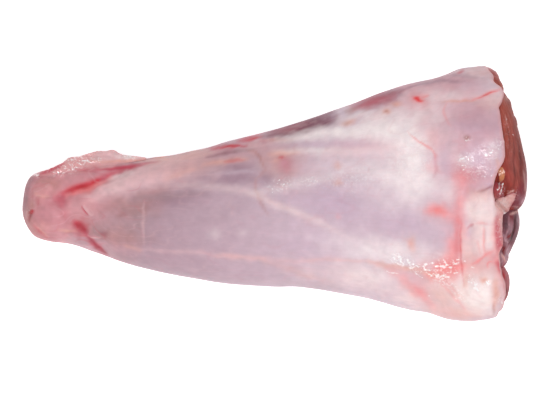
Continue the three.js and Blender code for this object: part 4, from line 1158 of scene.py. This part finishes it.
def silverskin_material(sizes):
    """Silverskin, sinew and fat: moist and satin, cloudy under the surface, with glints where film is wet,
    and painted highlights of white beads and specks.
    """
    material, tree = new_material("moist silverskin and fat")
    place = node(tree, "ShaderNodeTexCoord").outputs["Object"]
    tissue = node(tree, "ShaderNodeAttribute", attribute_name="tissue").outputs["Color"]
    wet = node(tree, "ShaderNodeAttribute", attribute_name="wet").outputs["Fac"]

    # Cloudy patches change the tint a little, and so do fibres, drawn as coarse as they need to show.
    clouds = node(tree, "ShaderNodeTexNoise", {
        "Vector": place, "Scale": 1 / sizes.mottle, "Detail": 4.0, "Roughness": 0.6}).outputs["Fac"]
    cloud_tint = node(tree, "ShaderNodeMapRange", {
        "Value": clouds, "From Min": 0.3, "From Max": 0.7, "To Min": 0.965, "To Max": 1.03}).outputs["Result"]
    stretched = node(tree, "ShaderNodeMapping", {
        "Vector": place, "Scale": (0.08, 1.0, 1.0)}).outputs["Vector"]
    fibres = node(tree, "ShaderNodeTexNoise", {
        "Vector": stretched, "Scale": 1 / sizes.fibre, "Detail": 3.0, "Roughness": 0.55}).outputs["Fac"]
    fibre_tint = node(tree, "ShaderNodeMapRange", {
        "Value": fibres, "From Min": 0.3, "From Max": 0.7, "To Min": 0.98, "To Max": 1.02}).outputs["Result"]
    tinted = shaded(tree, tissue, cloud_tint, fibre_tint)
    grain = node(tree, "ShaderNodeTexNoise", {
        "Vector": place, "Scale": 2.6 / sizes.mottle, "Detail": 5.0, "Roughness": 0.65}).outputs["Fac"]
    flush = node(tree, "ShaderNodeMapRange", {
        "Value": grain, "From Min": 0.52, "From Max": 0.75, "To Min": 0.0, "To Max": 0.11}).outputs["Result"]
    flushed = node(tree, "ShaderNodeMix", {FACTOR: flush, FIRST: tinted, SECOND: rgba(linear(0xC48C98))},
                   data_type="RGBA").outputs[MIXED]
    # Painted highlights: white beads and specks of wet film.
    base, bead = lay_painted_glints(tree, place, flushed, wet)

    # Fine relief: fibres everywhere, small wrinkles in the wet film.
    wrinkles = wrinkled(tree, place, wet, SKIN_WRINKLES, 0.7 * MM)
    relief = node(tree, "ShaderNodeBump", {
        "Strength": 0.15, "Distance": 0.1 * MM, "Height": fibres, "Normal": wrinkles}).outputs["Normal"]

    gloss = node(tree, "ShaderNodeMapRange", {
        "Value": wet, "To Min": 0.5, "To Max": 0.2}).outputs["Result"]
    uneven = node(tree, "ShaderNodeMapRange", {
        "Value": grain, "From Min": 0.3, "From Max": 0.7, "To Min": -0.06, "To Max": 0.06}).outputs["Result"]
    roughness = node(tree, "ShaderNodeMath", {0: gloss, 1: uneven}, operation="ADD").outputs[0]
    film = node(tree, "ShaderNodeMath", {0: wet, 1: bead}, operation="MAXIMUM").outputs[0]
    surface = node(tree, "ShaderNodeBsdfPrincipled", {
        "Base Color": base, "Roughness": roughness, "IOR": 1.4, "Specular IOR Level": 0.22, "Normal": relief,
        "Subsurface Weight": 0.12, "Subsurface Radius": (1.0, 0.5, 0.4), "Subsurface Scale": sizes.scatter,
        "Coat Weight": film, "Coat Roughness": 0.06, "Coat IOR": 1.5, "Coat Normal": relief})
    node(tree, "ShaderNodeOutputMaterial", {"Surface": surface.outputs["BSDF"]})
    return material


def lean_material():
    """Raw lean: fine fibres in soft bundles, cloudy, and moist enough to shine where it is wet, with painted
    highlights of white beads and specks.
    """
    material, tree = new_material("raw lean lamb")
    tissue = node(tree, "ShaderNodeAttribute", attribute_name="tissue").outputs["Color"]
    wet = node(tree, "ShaderNodeAttribute", attribute_name="wet").outputs["Fac"]
    grain = node(tree, "ShaderNodeAttribute", attribute_name="grain").outputs["Vector"]
    place = node(tree, "ShaderNodeTexCoord").outputs["Object"]

    # The fibres are finer in life, and are drawn as coarse as they need to show.
    fibres = node(tree, "ShaderNodeTexNoise", {
        "Vector": grain, "Scale": 1.0, "Detail": 4.0, "Roughness": 0.6}).outputs["Fac"]
    fibre_tint = node(tree, "ShaderNodeMapRange", {
        "Value": fibres, "From Min": 0.25, "From Max": 0.75, "To Min": 0.8, "To Max": 1.2}).outputs["Result"]
    clouds = node(tree, "ShaderNodeTexNoise", {
        "Vector": place, "Scale": 1 / LEAN_CLOUDS, "Detail": 3.0}).outputs["Fac"]
    cloud_tint = node(tree, "ShaderNodeMapRange", {
        "Value": clouds, "From Min": 0.3, "From Max": 0.7, "To Min": 0.9, "To Max": 1.1}).outputs["Result"]
    # Painted highlights: white beads and specks of wet film.
    base, bead = lay_painted_glints(tree, place, shaded(tree, tissue, fibre_tint, cloud_tint), wet)
    wrinkles = wrinkled(tree, place, wet, LEAN_WRINKLES, 0.35 * MM)
    relief = node(tree, "ShaderNodeBump", {
        "Strength": 0.5, "Distance": 0.2 * MM, "Height": fibres, "Normal": wrinkles}).outputs["Normal"]
    roughness = node(tree, "ShaderNodeMapRange", {
        "Value": wet, "To Min": 0.5, "To Max": 0.22}).outputs["Result"]
    film = node(tree, "ShaderNodeMath", {0: wet, 1: bead}, operation="MAXIMUM").outputs[0]
    surface = node(tree, "ShaderNodeBsdfPrincipled", {
        "Base Color": base, "Roughness": roughness, "IOR": 1.36, "Specular IOR Level": 0.06, "Normal": relief,
        "Coat Weight": film, "Coat Roughness": 0.1, "Coat IOR": 1.4, "Coat Normal": relief,
        "Subsurface Weight": 0.08, "Subsurface Radius": (1.0, 0.3, 0.2), "Subsurface Scale": 1.2 * MM})
    node(tree, "ShaderNodeOutputMaterial", {"Surface": surface.outputs["BSDF"]})
    return material


def membrane_material(name, tint, lean):
    """Membrane or a bit of fat: pale and wet, with stringy stains, and so thin at its rim that lean shows."""
    material, tree = new_material(name)
    place = node(tree, "ShaderNodeTexCoord").outputs["Object"]
    thin = node(tree, "ShaderNodeAttribute", attribute_name="thin").outputs["Fac"]
    strings = node(tree, "ShaderNodeTexNoise", {
        "Vector": place, "Scale": 1 / MEMBRANE_STRINGS, "Detail": 3.0, "Roughness": 0.6}).outputs["Fac"]
    stain = node(tree, "ShaderNodeMapRange", {
        "Value": strings, "From Min": 0.4, "From Max": 0.7, "To Min": 0.0, "To Max": 0.5}).outputs["Result"]
    showing = node(tree, "ShaderNodeMath", {0: stain, 1: thin}, operation="ADD", use_clamp=True).outputs[0]
    base = node(tree, "ShaderNodeMix", {
        FACTOR: showing, FIRST: rgba(tint), SECOND: rgba(lean)}, data_type="RGBA").outputs[MIXED]
    relief = node(tree, "ShaderNodeBump", {
        "Strength": 0.8, "Distance": 0.3 * MM, "Height": strings}).outputs["Normal"]
    surface = node(tree, "ShaderNodeBsdfPrincipled", {
        "Base Color": base, "Roughness": 0.3, "IOR": 1.4, "Normal": relief, "Coat Weight": 0.5,
        "Coat Roughness": 0.1, "Coat IOR": 1.4, "Coat Normal": relief, "Subsurface Weight": 0.15,
        "Subsurface Radius": (1.0, 0.5, 0.4), "Subsurface Scale": 1.0 * MM})
    node(tree, "ShaderNodeOutputMaterial", {"Surface": surface.outputs["BSDF"]})
    return material


def paper_material(tint):
    """Matte white paper: even and pale, with a faint grain, and it hardly shows a shadow."""
    material, tree = new_material("matte white paper")
    place = node(tree, "ShaderNodeTexCoord").outputs["Object"]

    # The grain is finer in life, and is drawn as coarse as it needs to show.
    grain = node(tree, "ShaderNodeTexNoise", {"Vector": place, "Scale": 1 / PAPER_GRAIN}).outputs["Fac"]
    relief = node(tree, "ShaderNodeBump", {
        "Strength": 0.1, "Distance": 0.05 * MM, "Height": grain}).outputs["Normal"]
    surface = node(tree, "ShaderNodeBsdfPrincipled", {
        "Base Color": rgba(tint), "Roughness": 0.9, "Normal": relief, "Specular IOR Level": 0.1,
        "Emission Color": (1.0, 1.0, 1.0, 1.0), "Emission Strength": 0.5})
    node(tree, "ShaderNodeOutputMaterial", {"Surface": surface.outputs["BSDF"]})
    return material


def cast(tree, start, direction):
    """The first point of a surface on a ray."""
    hit = tree.ray_cast(Vector(start), Vector(direction))[0]
    if hit is None:
        raise RuntimeError("a ray missed the packed solid")
    return np.array(hit)


def axis_at(x):
    """The point of the leg's inner axis at a place along it, in mm."""
    share = (x - SOLID_LOW.x) / (CUT - SOLID_LOW.x)
    y, z = (low + (high - low) * share for low, high in zip(AXIS_HOCK, AXIS_CUT))
    return np.array([x, y, z])


def under_skin(tree, points):
    """Points drawn towards the leg's axis where they would come out through the skin or past its edge."""
    drawn = points.copy()
    for point in drawn:
        start = axis_at(min(point[0], CUT - LEAN_BACK))
        out = Vector((0, *(point - start)[1:]))
        hit = tree.ray_cast(Vector(start), out.normalized())[0]
        if hit is not None:
            room = (hit - Vector(start)).length - SKIN
            point[1:] = start[1:] + np.array(out)[1:] * min(1, room / out.length)
    return drawn


def collar_share(points):
    """How much of each point lies where a collar of sinew stays on the cut."""
    low, start, end, high = COLLAR_ACROSS
    across = points[:, 1]
    return smoothstep(low, start, across) * (1 - smoothstep(end, high, across)) * (points[:, 2] > COLLAR_FOOT)


def sheath_rows(tree):
    """Points over the solid's skin and round its cut edge, by row and column, in mm."""
    upper = np.pi * np.arange(UPPER_COLUMNS) / UPPER_COLUMNS
    lower = np.pi * (1 + np.arange(COLUMNS - UPPER_COLUMNS) / (COLUMNS - UPPER_COLUMNS))
    angle = np.concatenate([upper, lower])
    spokes = np.column_stack([np.zeros(COLUMNS), -np.cos(angle), np.sin(angle)])
    first = SOLID_LOW.x + NOSE

    def full(hits, amount=1.0):
        """Points moved sideways by the skin's fullness at the far and the near outline."""
        hits = np.array(hits)
        along = hits[:, 0] - SEEN_ZERO
        far = np.interp(along, *np.array(FAR_FULLNESS).T)
        near = np.interp(along, *np.array(NEAR_FULLNESS).T)
        sideways = amount * smoothstep(0.45, 1.0, np.abs(spokes[:, 1]))
        hits[:, 1] += sideways * np.where(spokes[:, 1] > 0, far, -near)
        return hits

    rows = []
    for turn in np.linspace(0, np.pi / 2, NOSE_ROWS, endpoint=False):
        rays = spokes * math.sin(turn) - np.array([math.cos(turn), 0, 0])
        hits = [cast(tree, axis_at(first) + RAY_REACH * ray, -ray) for ray in rays]
        rows.append(full(hits, math.sin(turn)))

    # The edge's own shape, read a little before the cut.
    before_cut = axis_at(CUT - SECTION_BACK)
    section = np.array([cast(tree, before_cut + RAY_REACH * ray, -ray) for ray in spokes])
    share = section[:, 2] / CROWN
    waves = np.interp(section[:, 1], *np.array(CUT_EDGE).T) * smoothstep(0.1, 0.4, share)
    ragged = 0.45 * cloud(section, 3.5, 11) + 0.25 * cloud(section, 1.4, 12)
    shift = CUT_LEAN * (0.5 - share) + waves
    for done in np.interp(np.linspace(0, 1, BODY_ROWS), *np.array(ROW_PACE).T):
        xs = first + (CUT - first) * done + shift * done**6 + ragged * done**40
        rows.append(full([cast(tree, axis_at(x) + RAY_REACH * ray, -ray) for x, ray in zip(xs, spokes)]))

    # Over the lip, then flat to the middle of the cut.
    edge = np.array(rows[-1])
    collar = collar_share(edge)
    for plain, wide in zip(LIP, COLLAR):
        step = np.array(plain) + collar[:, None] * (np.array(wide) - np.array(plain))
        rows.append(edge + step[:, :1] * np.array([1.0, 0, 0]) + step[:, 1:] * spokes)
    inner = np.array(rows[-1])
    middle = axis_at(CUT + 1)
    for done in np.arange(1, PAN_ROWS + 1) / PAN_ROWS:
        rows.append(inner + (middle - inner) * done)
    return np.array(rows)


def paint(obj, tissues, sizes, rows):
    """Raise the sheath's relief and paint its tissues."""
    points = points_of(obj)
    normals = normals_of(obj)
    tints = tints_of(tissues)
    lip = rows - (NOSE_ROWS + BODY_ROWS - 1)
    skin = lip <= 0
    collar = collar_share(points) * (lip > 0)
    facing = smoothstep(-0.3, 0.15, normals[:, 2]) * np.maximum(skin, collar * (lip < 5))

    # Tissues fade and waver on the steep sides, below what the viewer sees.
    crest = np.zeros(int(rows.max()) + 1)
    np.maximum.at(crest, rows.astype(int), points[:, 2])
    steep = 1 - smoothstep(0.02, 0.2, normals[:, 2])
    high = points[:, 2] / crest[rows.astype(int)] + 0.12 * cloud(points, (14, 8, 8), 36)
    facing *= 1 - steep * (1 - smoothstep(0.3, 0.65, high))

    # Plain tissue along the leg, with broad patches of white sheet and dark lean on the unseen sides.
    stops = [along for along, _ in BASE_TISSUE]
    plain = np.array([tints[name] for _, name in BASE_TISSUE])
    along = seen_from_above(points)[:, 0] + 5 * cloud(points, 18, 26)
    tint = np.column_stack([np.interp(along, stops, plain[:, channel]) for channel in range(3)])
    hidden = skin * (1 - facing)
    sheet = hidden * smoothstep(-0.1, 0.6, cloud(points, (45, 16, 16), 27)) * smoothstep(60, 110, along)
    bare = hidden * smoothstep(0.15, 0.7, cloud(points, (50, 14, 14), 28)) * smoothstep(60, 100, along)
    pink = hidden * smoothstep(0.1, 0.7, cloud(points, (30, 12, 12), 29))
    wash(tint, tints, ((0.6 * sheet, "fascia"), (0.7 * bare, "mauve"), (0.4 * pink, "thigh")))

    # The lip of the cut, its collar of sinew and the flat of the cut.
    stained = smoothstep(-0.3, 0.7, cloud(points, 2.5, 30))
    wash(tint, tints, (
        (0.7 * smoothstep(-3, 0.5, lip), "pad"), (smoothstep(0.5, 3, lip), "lean"), (0.95 * collar, "tendon"),
        (collar * (0.7 + 0.25 * stained), "coral"), (0.4 * collar, "brown"), (0.4 * collar * stained, "rose"),
        (smoothstep(4, 6, lip), "lean"),
    ))
    height = lay_tissues(points, facing, tints, tint, PATCHES, STREAKS, SHEATH_DRAWS, 5 * steep)

    # Faint veins along the leg, stronger at the hock, and a fine mottle.
    veins = smoothstep(0.14, 0.0, np.abs(cloud(points, (8, 3, 3), 21)))
    veins *= smoothstep(-0.2, 0.5, cloud(points, 9, 22))
    strands = smoothstep(0.12, 0.0, np.abs(cloud(points, (11, 2.6, 2.6), 23)))
    strands *= smoothstep(-0.2, 0.5, cloud(points, 9, 24))
    raw = 1 - smoothstep(30, 60, along)
    veins *= skin * (0.08 + 0.22 * raw)
    strands *= skin * (0.13 + 0.07 * raw)
    wash(tint, tints, ((veins, "rose"), (strands, "tendon")))
    tint *= (1 + (0.035 + 0.035 * raw) * (cloud(points, 1.5, 25) + cloud(points, 3.2, 31)))[:, None]

    wet = wetness(points, np.maximum(facing, (lip > 0) & (lip < 4)), WET, WET_DRAWS)
    wrinkles = cloud(points, 1.7, 32) + 0.5 * cloud(points, 1.2, 33)
    height += wet * wrinkles * sizes.wrinkle / MM
    height += skin * cloud(points, (16, 7, 7), 34) * sizes.swell / MM
    height += 0.3 * skin * cloud(points, (14, 2.2, 2.2), 35) * sizes.swell / MM
    edge_fade = np.clip((NOSE_ROWS + BODY_ROWS - rows) / 8, 0, 1)
    raised = points + normals * (height * edge_fade)[:, None]
    raised[:, 2] = np.maximum(raised[:, 2], 0)
    set_points(obj, raised)
    keep_finish(obj, tint, wet, painted_glint_shares(points, facing))


class SHANK_OT_sheath(bpy.types.Operator):
    """Cast the sheath of silverskin, sinew and fat over the solid and paint its tissues"""

    bl_idname = "shank.sheath"
    bl_label = "Sheath"

    def execute(self, context):
        sizes = context.scene.shank_sheath
        grid = sheath_rows(surface_of([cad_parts["shank"]]))
        sheath, columns, rows = blank_grid(COLUMNS, len(grid) - 1)
        set_points(sheath, grid[rows, columns % COLUMNS])
        set_attribute(sheath, "row", rows.astype(float))
        close_up()
        rows = take_attribute(sheath, "row")

        # The solid's facets are smoothed away, but the edge of the cut stays sharp.
        skin = rows < NOSE_ROWS + BODY_ROWS - 10
        smooth_part(sheath, "skin", [(skin, 1.0)], SKIN_ROUNDS)
        far, _ = course_distance(seen_from_above(points_of(sheath)), SOFT_GROOVE)
        walls = [((far < reach) & skin, weight) for reach, weight in GROOVE_REACHES]
        smooth_part(sheath, "groove", walls, GROOVE_ROUNDS)
        along, across = seen_from_above(points_of(sheath)).T
        ledge = (along > 3) & (along < 66) & (across > 6 + along / 10)
        smooth_part(sheath, "ledge", [(ledge, 0.7)], LEDGE_ROUNDS)
        sheath.vertex_groups.clear()
        paint(sheath, context.scene.shank_tissues, sizes, rows)
        finish_piece(sheath, "sheath", silverskin_material(sizes))
        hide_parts("shank")
        return {"FINISHED"}


class SHANK_OT_flap(bpy.types.Operator):
    """Lay the thin wet flap of sinew along the far side of the hock"""

    bl_idname = "shank.flap"
    bl_label = "Flap"

    def execute(self, context):
        sizes = context.scene.shank_sheath
        sheath = context.scene.objects["sheath"]
        tree = surface_of([sheath])
        flap, column, row = blank_grid(FLAP_STEPS, FLAP_WIDTHS)
        root = even_steps(FLAP_ROOT, FLAP_STEPS)
        rim = even_steps(FLAP_RIM, FLAP_STEPS)
        spread = np.column_stack([rim, rim[:, :1]])
        rim += 0.25 * np.column_stack([cloud(spread, 1.5, seed) for seed in (61, 62)])
        out = np.arange(FLAP_WIDTHS + 1)[:, None, None] / FLAP_WIDTHS
        places = root + (rim - root) * out

        # It rests on the sheath, and keeps nearly its height where it passes the sheath's outline.
        level = np.array([[look_down(tree, place) for place in line] for line in places])
        drop = 0.5 * np.linalg.norm(rim - root, axis=1) / FLAP_WIDTHS
        for line in range(1, FLAP_WIDTHS + 1):
            level[line] = np.maximum(level[line], level[line - 1] - drop)
        flat = seen_point(places.reshape(-1, 2), level.ravel()).reshape(*level.shape, 3)[row, column]
        share = row / FLAP_WIDTHS
        ripples = cloud(flat, (2.6, 1.8, 4), 63) + 0.5 * cloud(flat, 1.3, 64)
        flat[:, 2] += 0.35 * smoothstep(0, 0.6, share) - 0.4
        flat[:, 2] += (0.2 + 0.8 * share) * ripples * sizes.ripple / MM
        set_points(flap, flat)
        set_attribute(flap, "out", share)
        apply_modifier(flap, "SMOOTH", factor=0.5, iterations=2)
        apply_modifier(flap, "SOLIDIFY", thickness=sizes.flap, offset=0.0)
        close_up()

        points = points_of(flap)
        everywhere = np.ones(len(points))
        tints = tints_of(context.scene.shank_tissues)
        away = smoothstep(0.05, 0.6, take_attribute(flap, "out"))[:, None]
        tint = tints["ankle"] + away * ((tints["pad"] + tints["tendon"]) / 2 - tints["ankle"])
        lay_tissues(points, everywhere, tints, tint, PATCHES, STREAKS, SHEATH_DRAWS)
        keep_finish(flap, tint, wetness(points, everywhere, WET, WET_DRAWS), painted_glint_shares(points, everywhere))
        finish_piece(flap, "sinew_flap", sheath.data.materials[0])
        return {"FINISHED"}


def belly_form(column, row, half, turn, sizes, seed):
    """A belly's points about its middle in mm, the ways out of it, its furrows and its grain."""
    around = 2 * np.pi * (column % BELLY_COLUMNS) / BELLY_COLUMNS
    over = np.pi * row / BELLY_ROWS

    # The poles lie across the shank, so the rows run along the bundles of fibre.
    ball = np.column_stack([np.sin(over) * np.cos(around), np.cos(over), np.sin(over) * np.sin(around)])
    full = np.sign(ball) * np.abs(ball) ** (2 / BELLY_FULLNESS)
    full /= np.linalg.norm(full, ord=BELLY_FULLNESS, axis=1)[:, None]
    girth = np.arctan2(ball[:, 2], ball[:, 0])
    wound = np.column_stack([np.cos(girth), ball[:, 1] * 0.35, np.sin(girth)])
    bundles = sizes.bundle / MM / half[2]
    furrow = np.abs(cloud(wound, bundles, seed) + 0.4 * cloud(wound, bundles / 2, seed + 10))
    furrow = 1 - smoothstep(0.0, 0.4, furrow)
    swell = cloud(full * np.array(half), 9, seed + 20)
    away = full / np.linalg.norm(full, axis=1)[:, None]
    shape = full * np.array(half) + away * (0.35 * swell - furrow * sizes.furrow / MM)[:, None]
    angle = math.radians(turn)
    turned = shape.copy()
    turned[:, 0] = shape[:, 0] * math.cos(angle) - shape[:, 1] * math.sin(angle)
    turned[:, 1] = shape[:, 0] * math.sin(angle) + shape[:, 1] * math.cos(angle)
    return turned, away, furrow, wound / bundles * 1.6


class SHANK_OT_lean(bpy.types.Operator):
    """Make the bellies of lean that bulge out of the cut"""

    bl_idname = "shank.lean"
    bl_label = "Lean"

    def execute(self, context):
        sizes = context.scene.shank_lean
        tints = tints_of(sizes)
        material = lean_material()
        skin = surface_of([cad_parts["shank"]])
        for seed, (name, tissue, middle, half, turn) in enumerate(BELLIES, start=40):
            belly, column, row = blank_grid(BELLY_COLUMNS, BELLY_ROWS)
            form, away, furrow, grain = belly_form(column, row, half, turn, sizes, seed)
            points = under_skin(skin, form + np.array(middle) + np.array([LEG_ZERO, 0, 0]))
            tint = np.tile(tints[tissue], (len(points), 1))
            # Painted shade: the tint is darker in the furrows between bundles.
            tint *= (1 - 0.25 * furrow)[:, None]
            upper = smoothstep(16, 32, points[:, 2] + 4 * cloud(points, 6, seed + 30))
            height = lay_tissues(points, upper, tints, tint, LEAN_PATCHES, LEAN_STREAKS, LEAN_DRAWS)
            points += away * height[:, None]
            points[:, 2] = np.maximum(points[:, 2], LEAN_FOOT)
            set_points(belly, points)
            keep_finish(belly, tint, wetness(points, upper, LEAN_WET, LEAN_WET_DRAWS), painted_glint_shares(points, upper))
            set_attribute(belly, "grain", grain)
            close_up()
            finish_piece(belly, name, material)
        return {"FINISHED"}


def settled(level):
    """A grid of heights, raised where a film bridges the gaps in what it lies on."""
    for _ in range(FILM_SETTLING):
        ringed = np.pad(level, 1, mode="edge")
        around = (ringed[:-2, 1:-1] + ringed[2:, 1:-1] + ringed[1:-1, :-2] + ringed[1:-1, 2:]) / 4
        level = np.maximum(level, around)
    return level


class SHANK_OT_films(bpy.types.Operator):
    """Hang the membrane and a bit of fat over the lean"""

    bl_idname = "shank.films"
    bl_label = "Films"

    def execute(self, context):
        sizes = context.scene.shank_lean
        lean = [context.scene.objects[name] for name, *_ in BELLIES]
        trees = {
            "film": surface_of([*lean, context.scene.objects["sheath"]]),
            "stained_fat": surface_of(lean),
        }
        materials = {
            "film": membrane_material("wet membrane", sizes.film, sizes.rosy),
            "stained_fat": membrane_material("stained fat", sizes.stained_fat, sizes.red),
        }
        for seed, (name, course, halves, tint, thick) in enumerate(FILMS, start=80):
            film, column, row = blank_grid(FILM_STEPS, FILM_WIDTHS)
            line = even_steps(course, FILM_STEPS)
            tangent = np.gradient(line, axis=0)[column]
            tangent /= np.linalg.norm(tangent, axis=1)[:, None]
            side = np.column_stack([-tangent[:, 1], tangent[:, 0]])
            aside = 2 * row / FILM_WIDTHS - 1
            share = column / FILM_STEPS
            uneven = 1 + 0.2 * cloud(np.column_stack([share * 8, np.sign(aside), share]), 1.3, seed)
            half = np.interp(share, np.linspace(0, 1, len(halves)), halves) * uneven
            places = line[column] + side * (half * aside)[:, None]
            level = np.array([look_down(trees[tint], place) for place in places])
            level = np.where(np.isfinite(level), level, SEEN_LEVEL)
            level = settled(level.reshape(FILM_WIDTHS + 1, FILM_STEPS + 1))
            points = seen_point(places, level.ravel())
            points[:, 2] += 0.8 * smoothstep(0, 0.4, share) - 0.6 + 0.3 * cloud(points, 1.6, seed + 5)
            set_points(film, points)
            set_attribute(film, "thin", 0.7 * smoothstep(0.5, 1.1, np.maximum(np.abs(aside), 2 * share - 1)))
            apply_modifier(film, "SMOOTH", factor=0.5, iterations=12)
            apply_modifier(film, "SOLIDIFY", thickness=sizes.film_thickness * thick, offset=0.0)
            close_up()
            finish_piece(film, name, materials[tint])
        return {"FINISHED"}


class SHANK_OT_stage(bpy.types.Operator):
    """Set up the floor, the light and the camera"""

    bl_idname = "shank.stage"
    bl_label = "Stage"

    def execute(self, context):
        stage = context.scene.shank_stage
        bpy.ops.object.select_all(action="DESELECT")
        bpy.ops.mesh.primitive_circle_add(vertices=96, radius=4.0, fill_type="NGON")
        floor = context.object
        floor.name = floor.data.name = "floor"
        floor.data.materials.append(paper_material(stage.floor))

        world = bpy.data.worlds.new("even room light")
        context.scene.world = world
        world.use_nodes = True
        world.node_tree.nodes.clear()
        sky = node(world.node_tree, "ShaderNodeBackground", {
            "Color": (1.0, 1.0, 1.0, 1.0), "Strength": stage.room_light})
        node(world.node_tree, "ShaderNodeOutputWorld", {"Surface": sky.outputs["Background"]})

        # Name, place and size in metres, power
        lights = (
            ("key_softbox", (0.02, -0.03, 1.15), 0.36, stage.key_power),
            ("fill_softbox", (0.1, -0.5, 1.1), 0.8, stage.fill_power),
            ("glint_lamp", (-0.12, -0.81, 0.455), 0.1, stage.glint_power),
        )
        for name, place, size, power in lights:
            bpy.ops.object.light_add(type="AREA", location=place)
            light = context.object
            light.name = light.data.name = name
            light.data.size = size
            light.data.energy = power
            light.rotation_euler = (-Vector(place)).to_track_quat("-Z", "Y").to_euler()

        bpy.ops.object.camera_add(location=EYE * MM, rotation=(0, 0, 0))
        camera = context.object
        camera.name = "camera"
        camera.data.sensor_width = 36.0
        camera.data.lens = camera.data.sensor_width * (EYE.z - SEEN_LEVEL) / PICTURE_WIDTH
        camera.data.dof.use_dof = False
        context.scene.camera = camera
        context.scene.view_settings.view_transform = "Standard"
        return {"FINISHED"}


class SHANK_PT_panel(bpy.types.Panel):
    """The shank's pieces, in the order that they are made"""

    bl_label = "Raw Lamb Shank"
    bl_space_type = "VIEW_3D"
    bl_region_type = "UI"
    bl_category = "Shank"

    def draw(self, context):
        layout = self.layout
        for operator in OPERATORS:
            layout.operator(operator.bl_idname)
        for name, group in GROUPS.items():
            box = layout.box()
            for key in group.__annotations__:
                box.prop(getattr(context.scene, name), key)


OPERATORS = (SHANK_OT_stage, SHANK_OT_sheath, SHANK_OT_flap, SHANK_OT_lean, SHANK_OT_films)
GROUPS = {
    "shank_tissues": ShankTissues,
    "shank_sheath": ShankSheath,
    "shank_lean": ShankLean,
    "shank_stage": ShankStage,
}


def register():
    """Make the pieces' operators, their settings and the panel known."""
    for cls in (*GROUPS.values(), *OPERATORS, SHANK_PT_panel):
        bpy.utils.register_class(cls)
    for name, group in GROUPS.items():
        setattr(bpy.types.Scene, name, bpy.props.PointerProperty(type=group))


def unregister():
    """Take away what register made known."""
    for name in GROUPS:
        delattr(bpy.types.Scene, name)
    for cls in (SHANK_PT_panel, *OPERATORS, *GROUPS.values()):
        bpy.utils.unregister_class(cls)


def main():
    """Make the stage and the pieces."""
    register()
    bpy.ops.shank.stage()
    bpy.ops.shank.sheath()
    bpy.ops.shank.flap()
    bpy.ops.shank.lean()
    bpy.ops.shank.films()


if __name__ == "__main__":
    main()
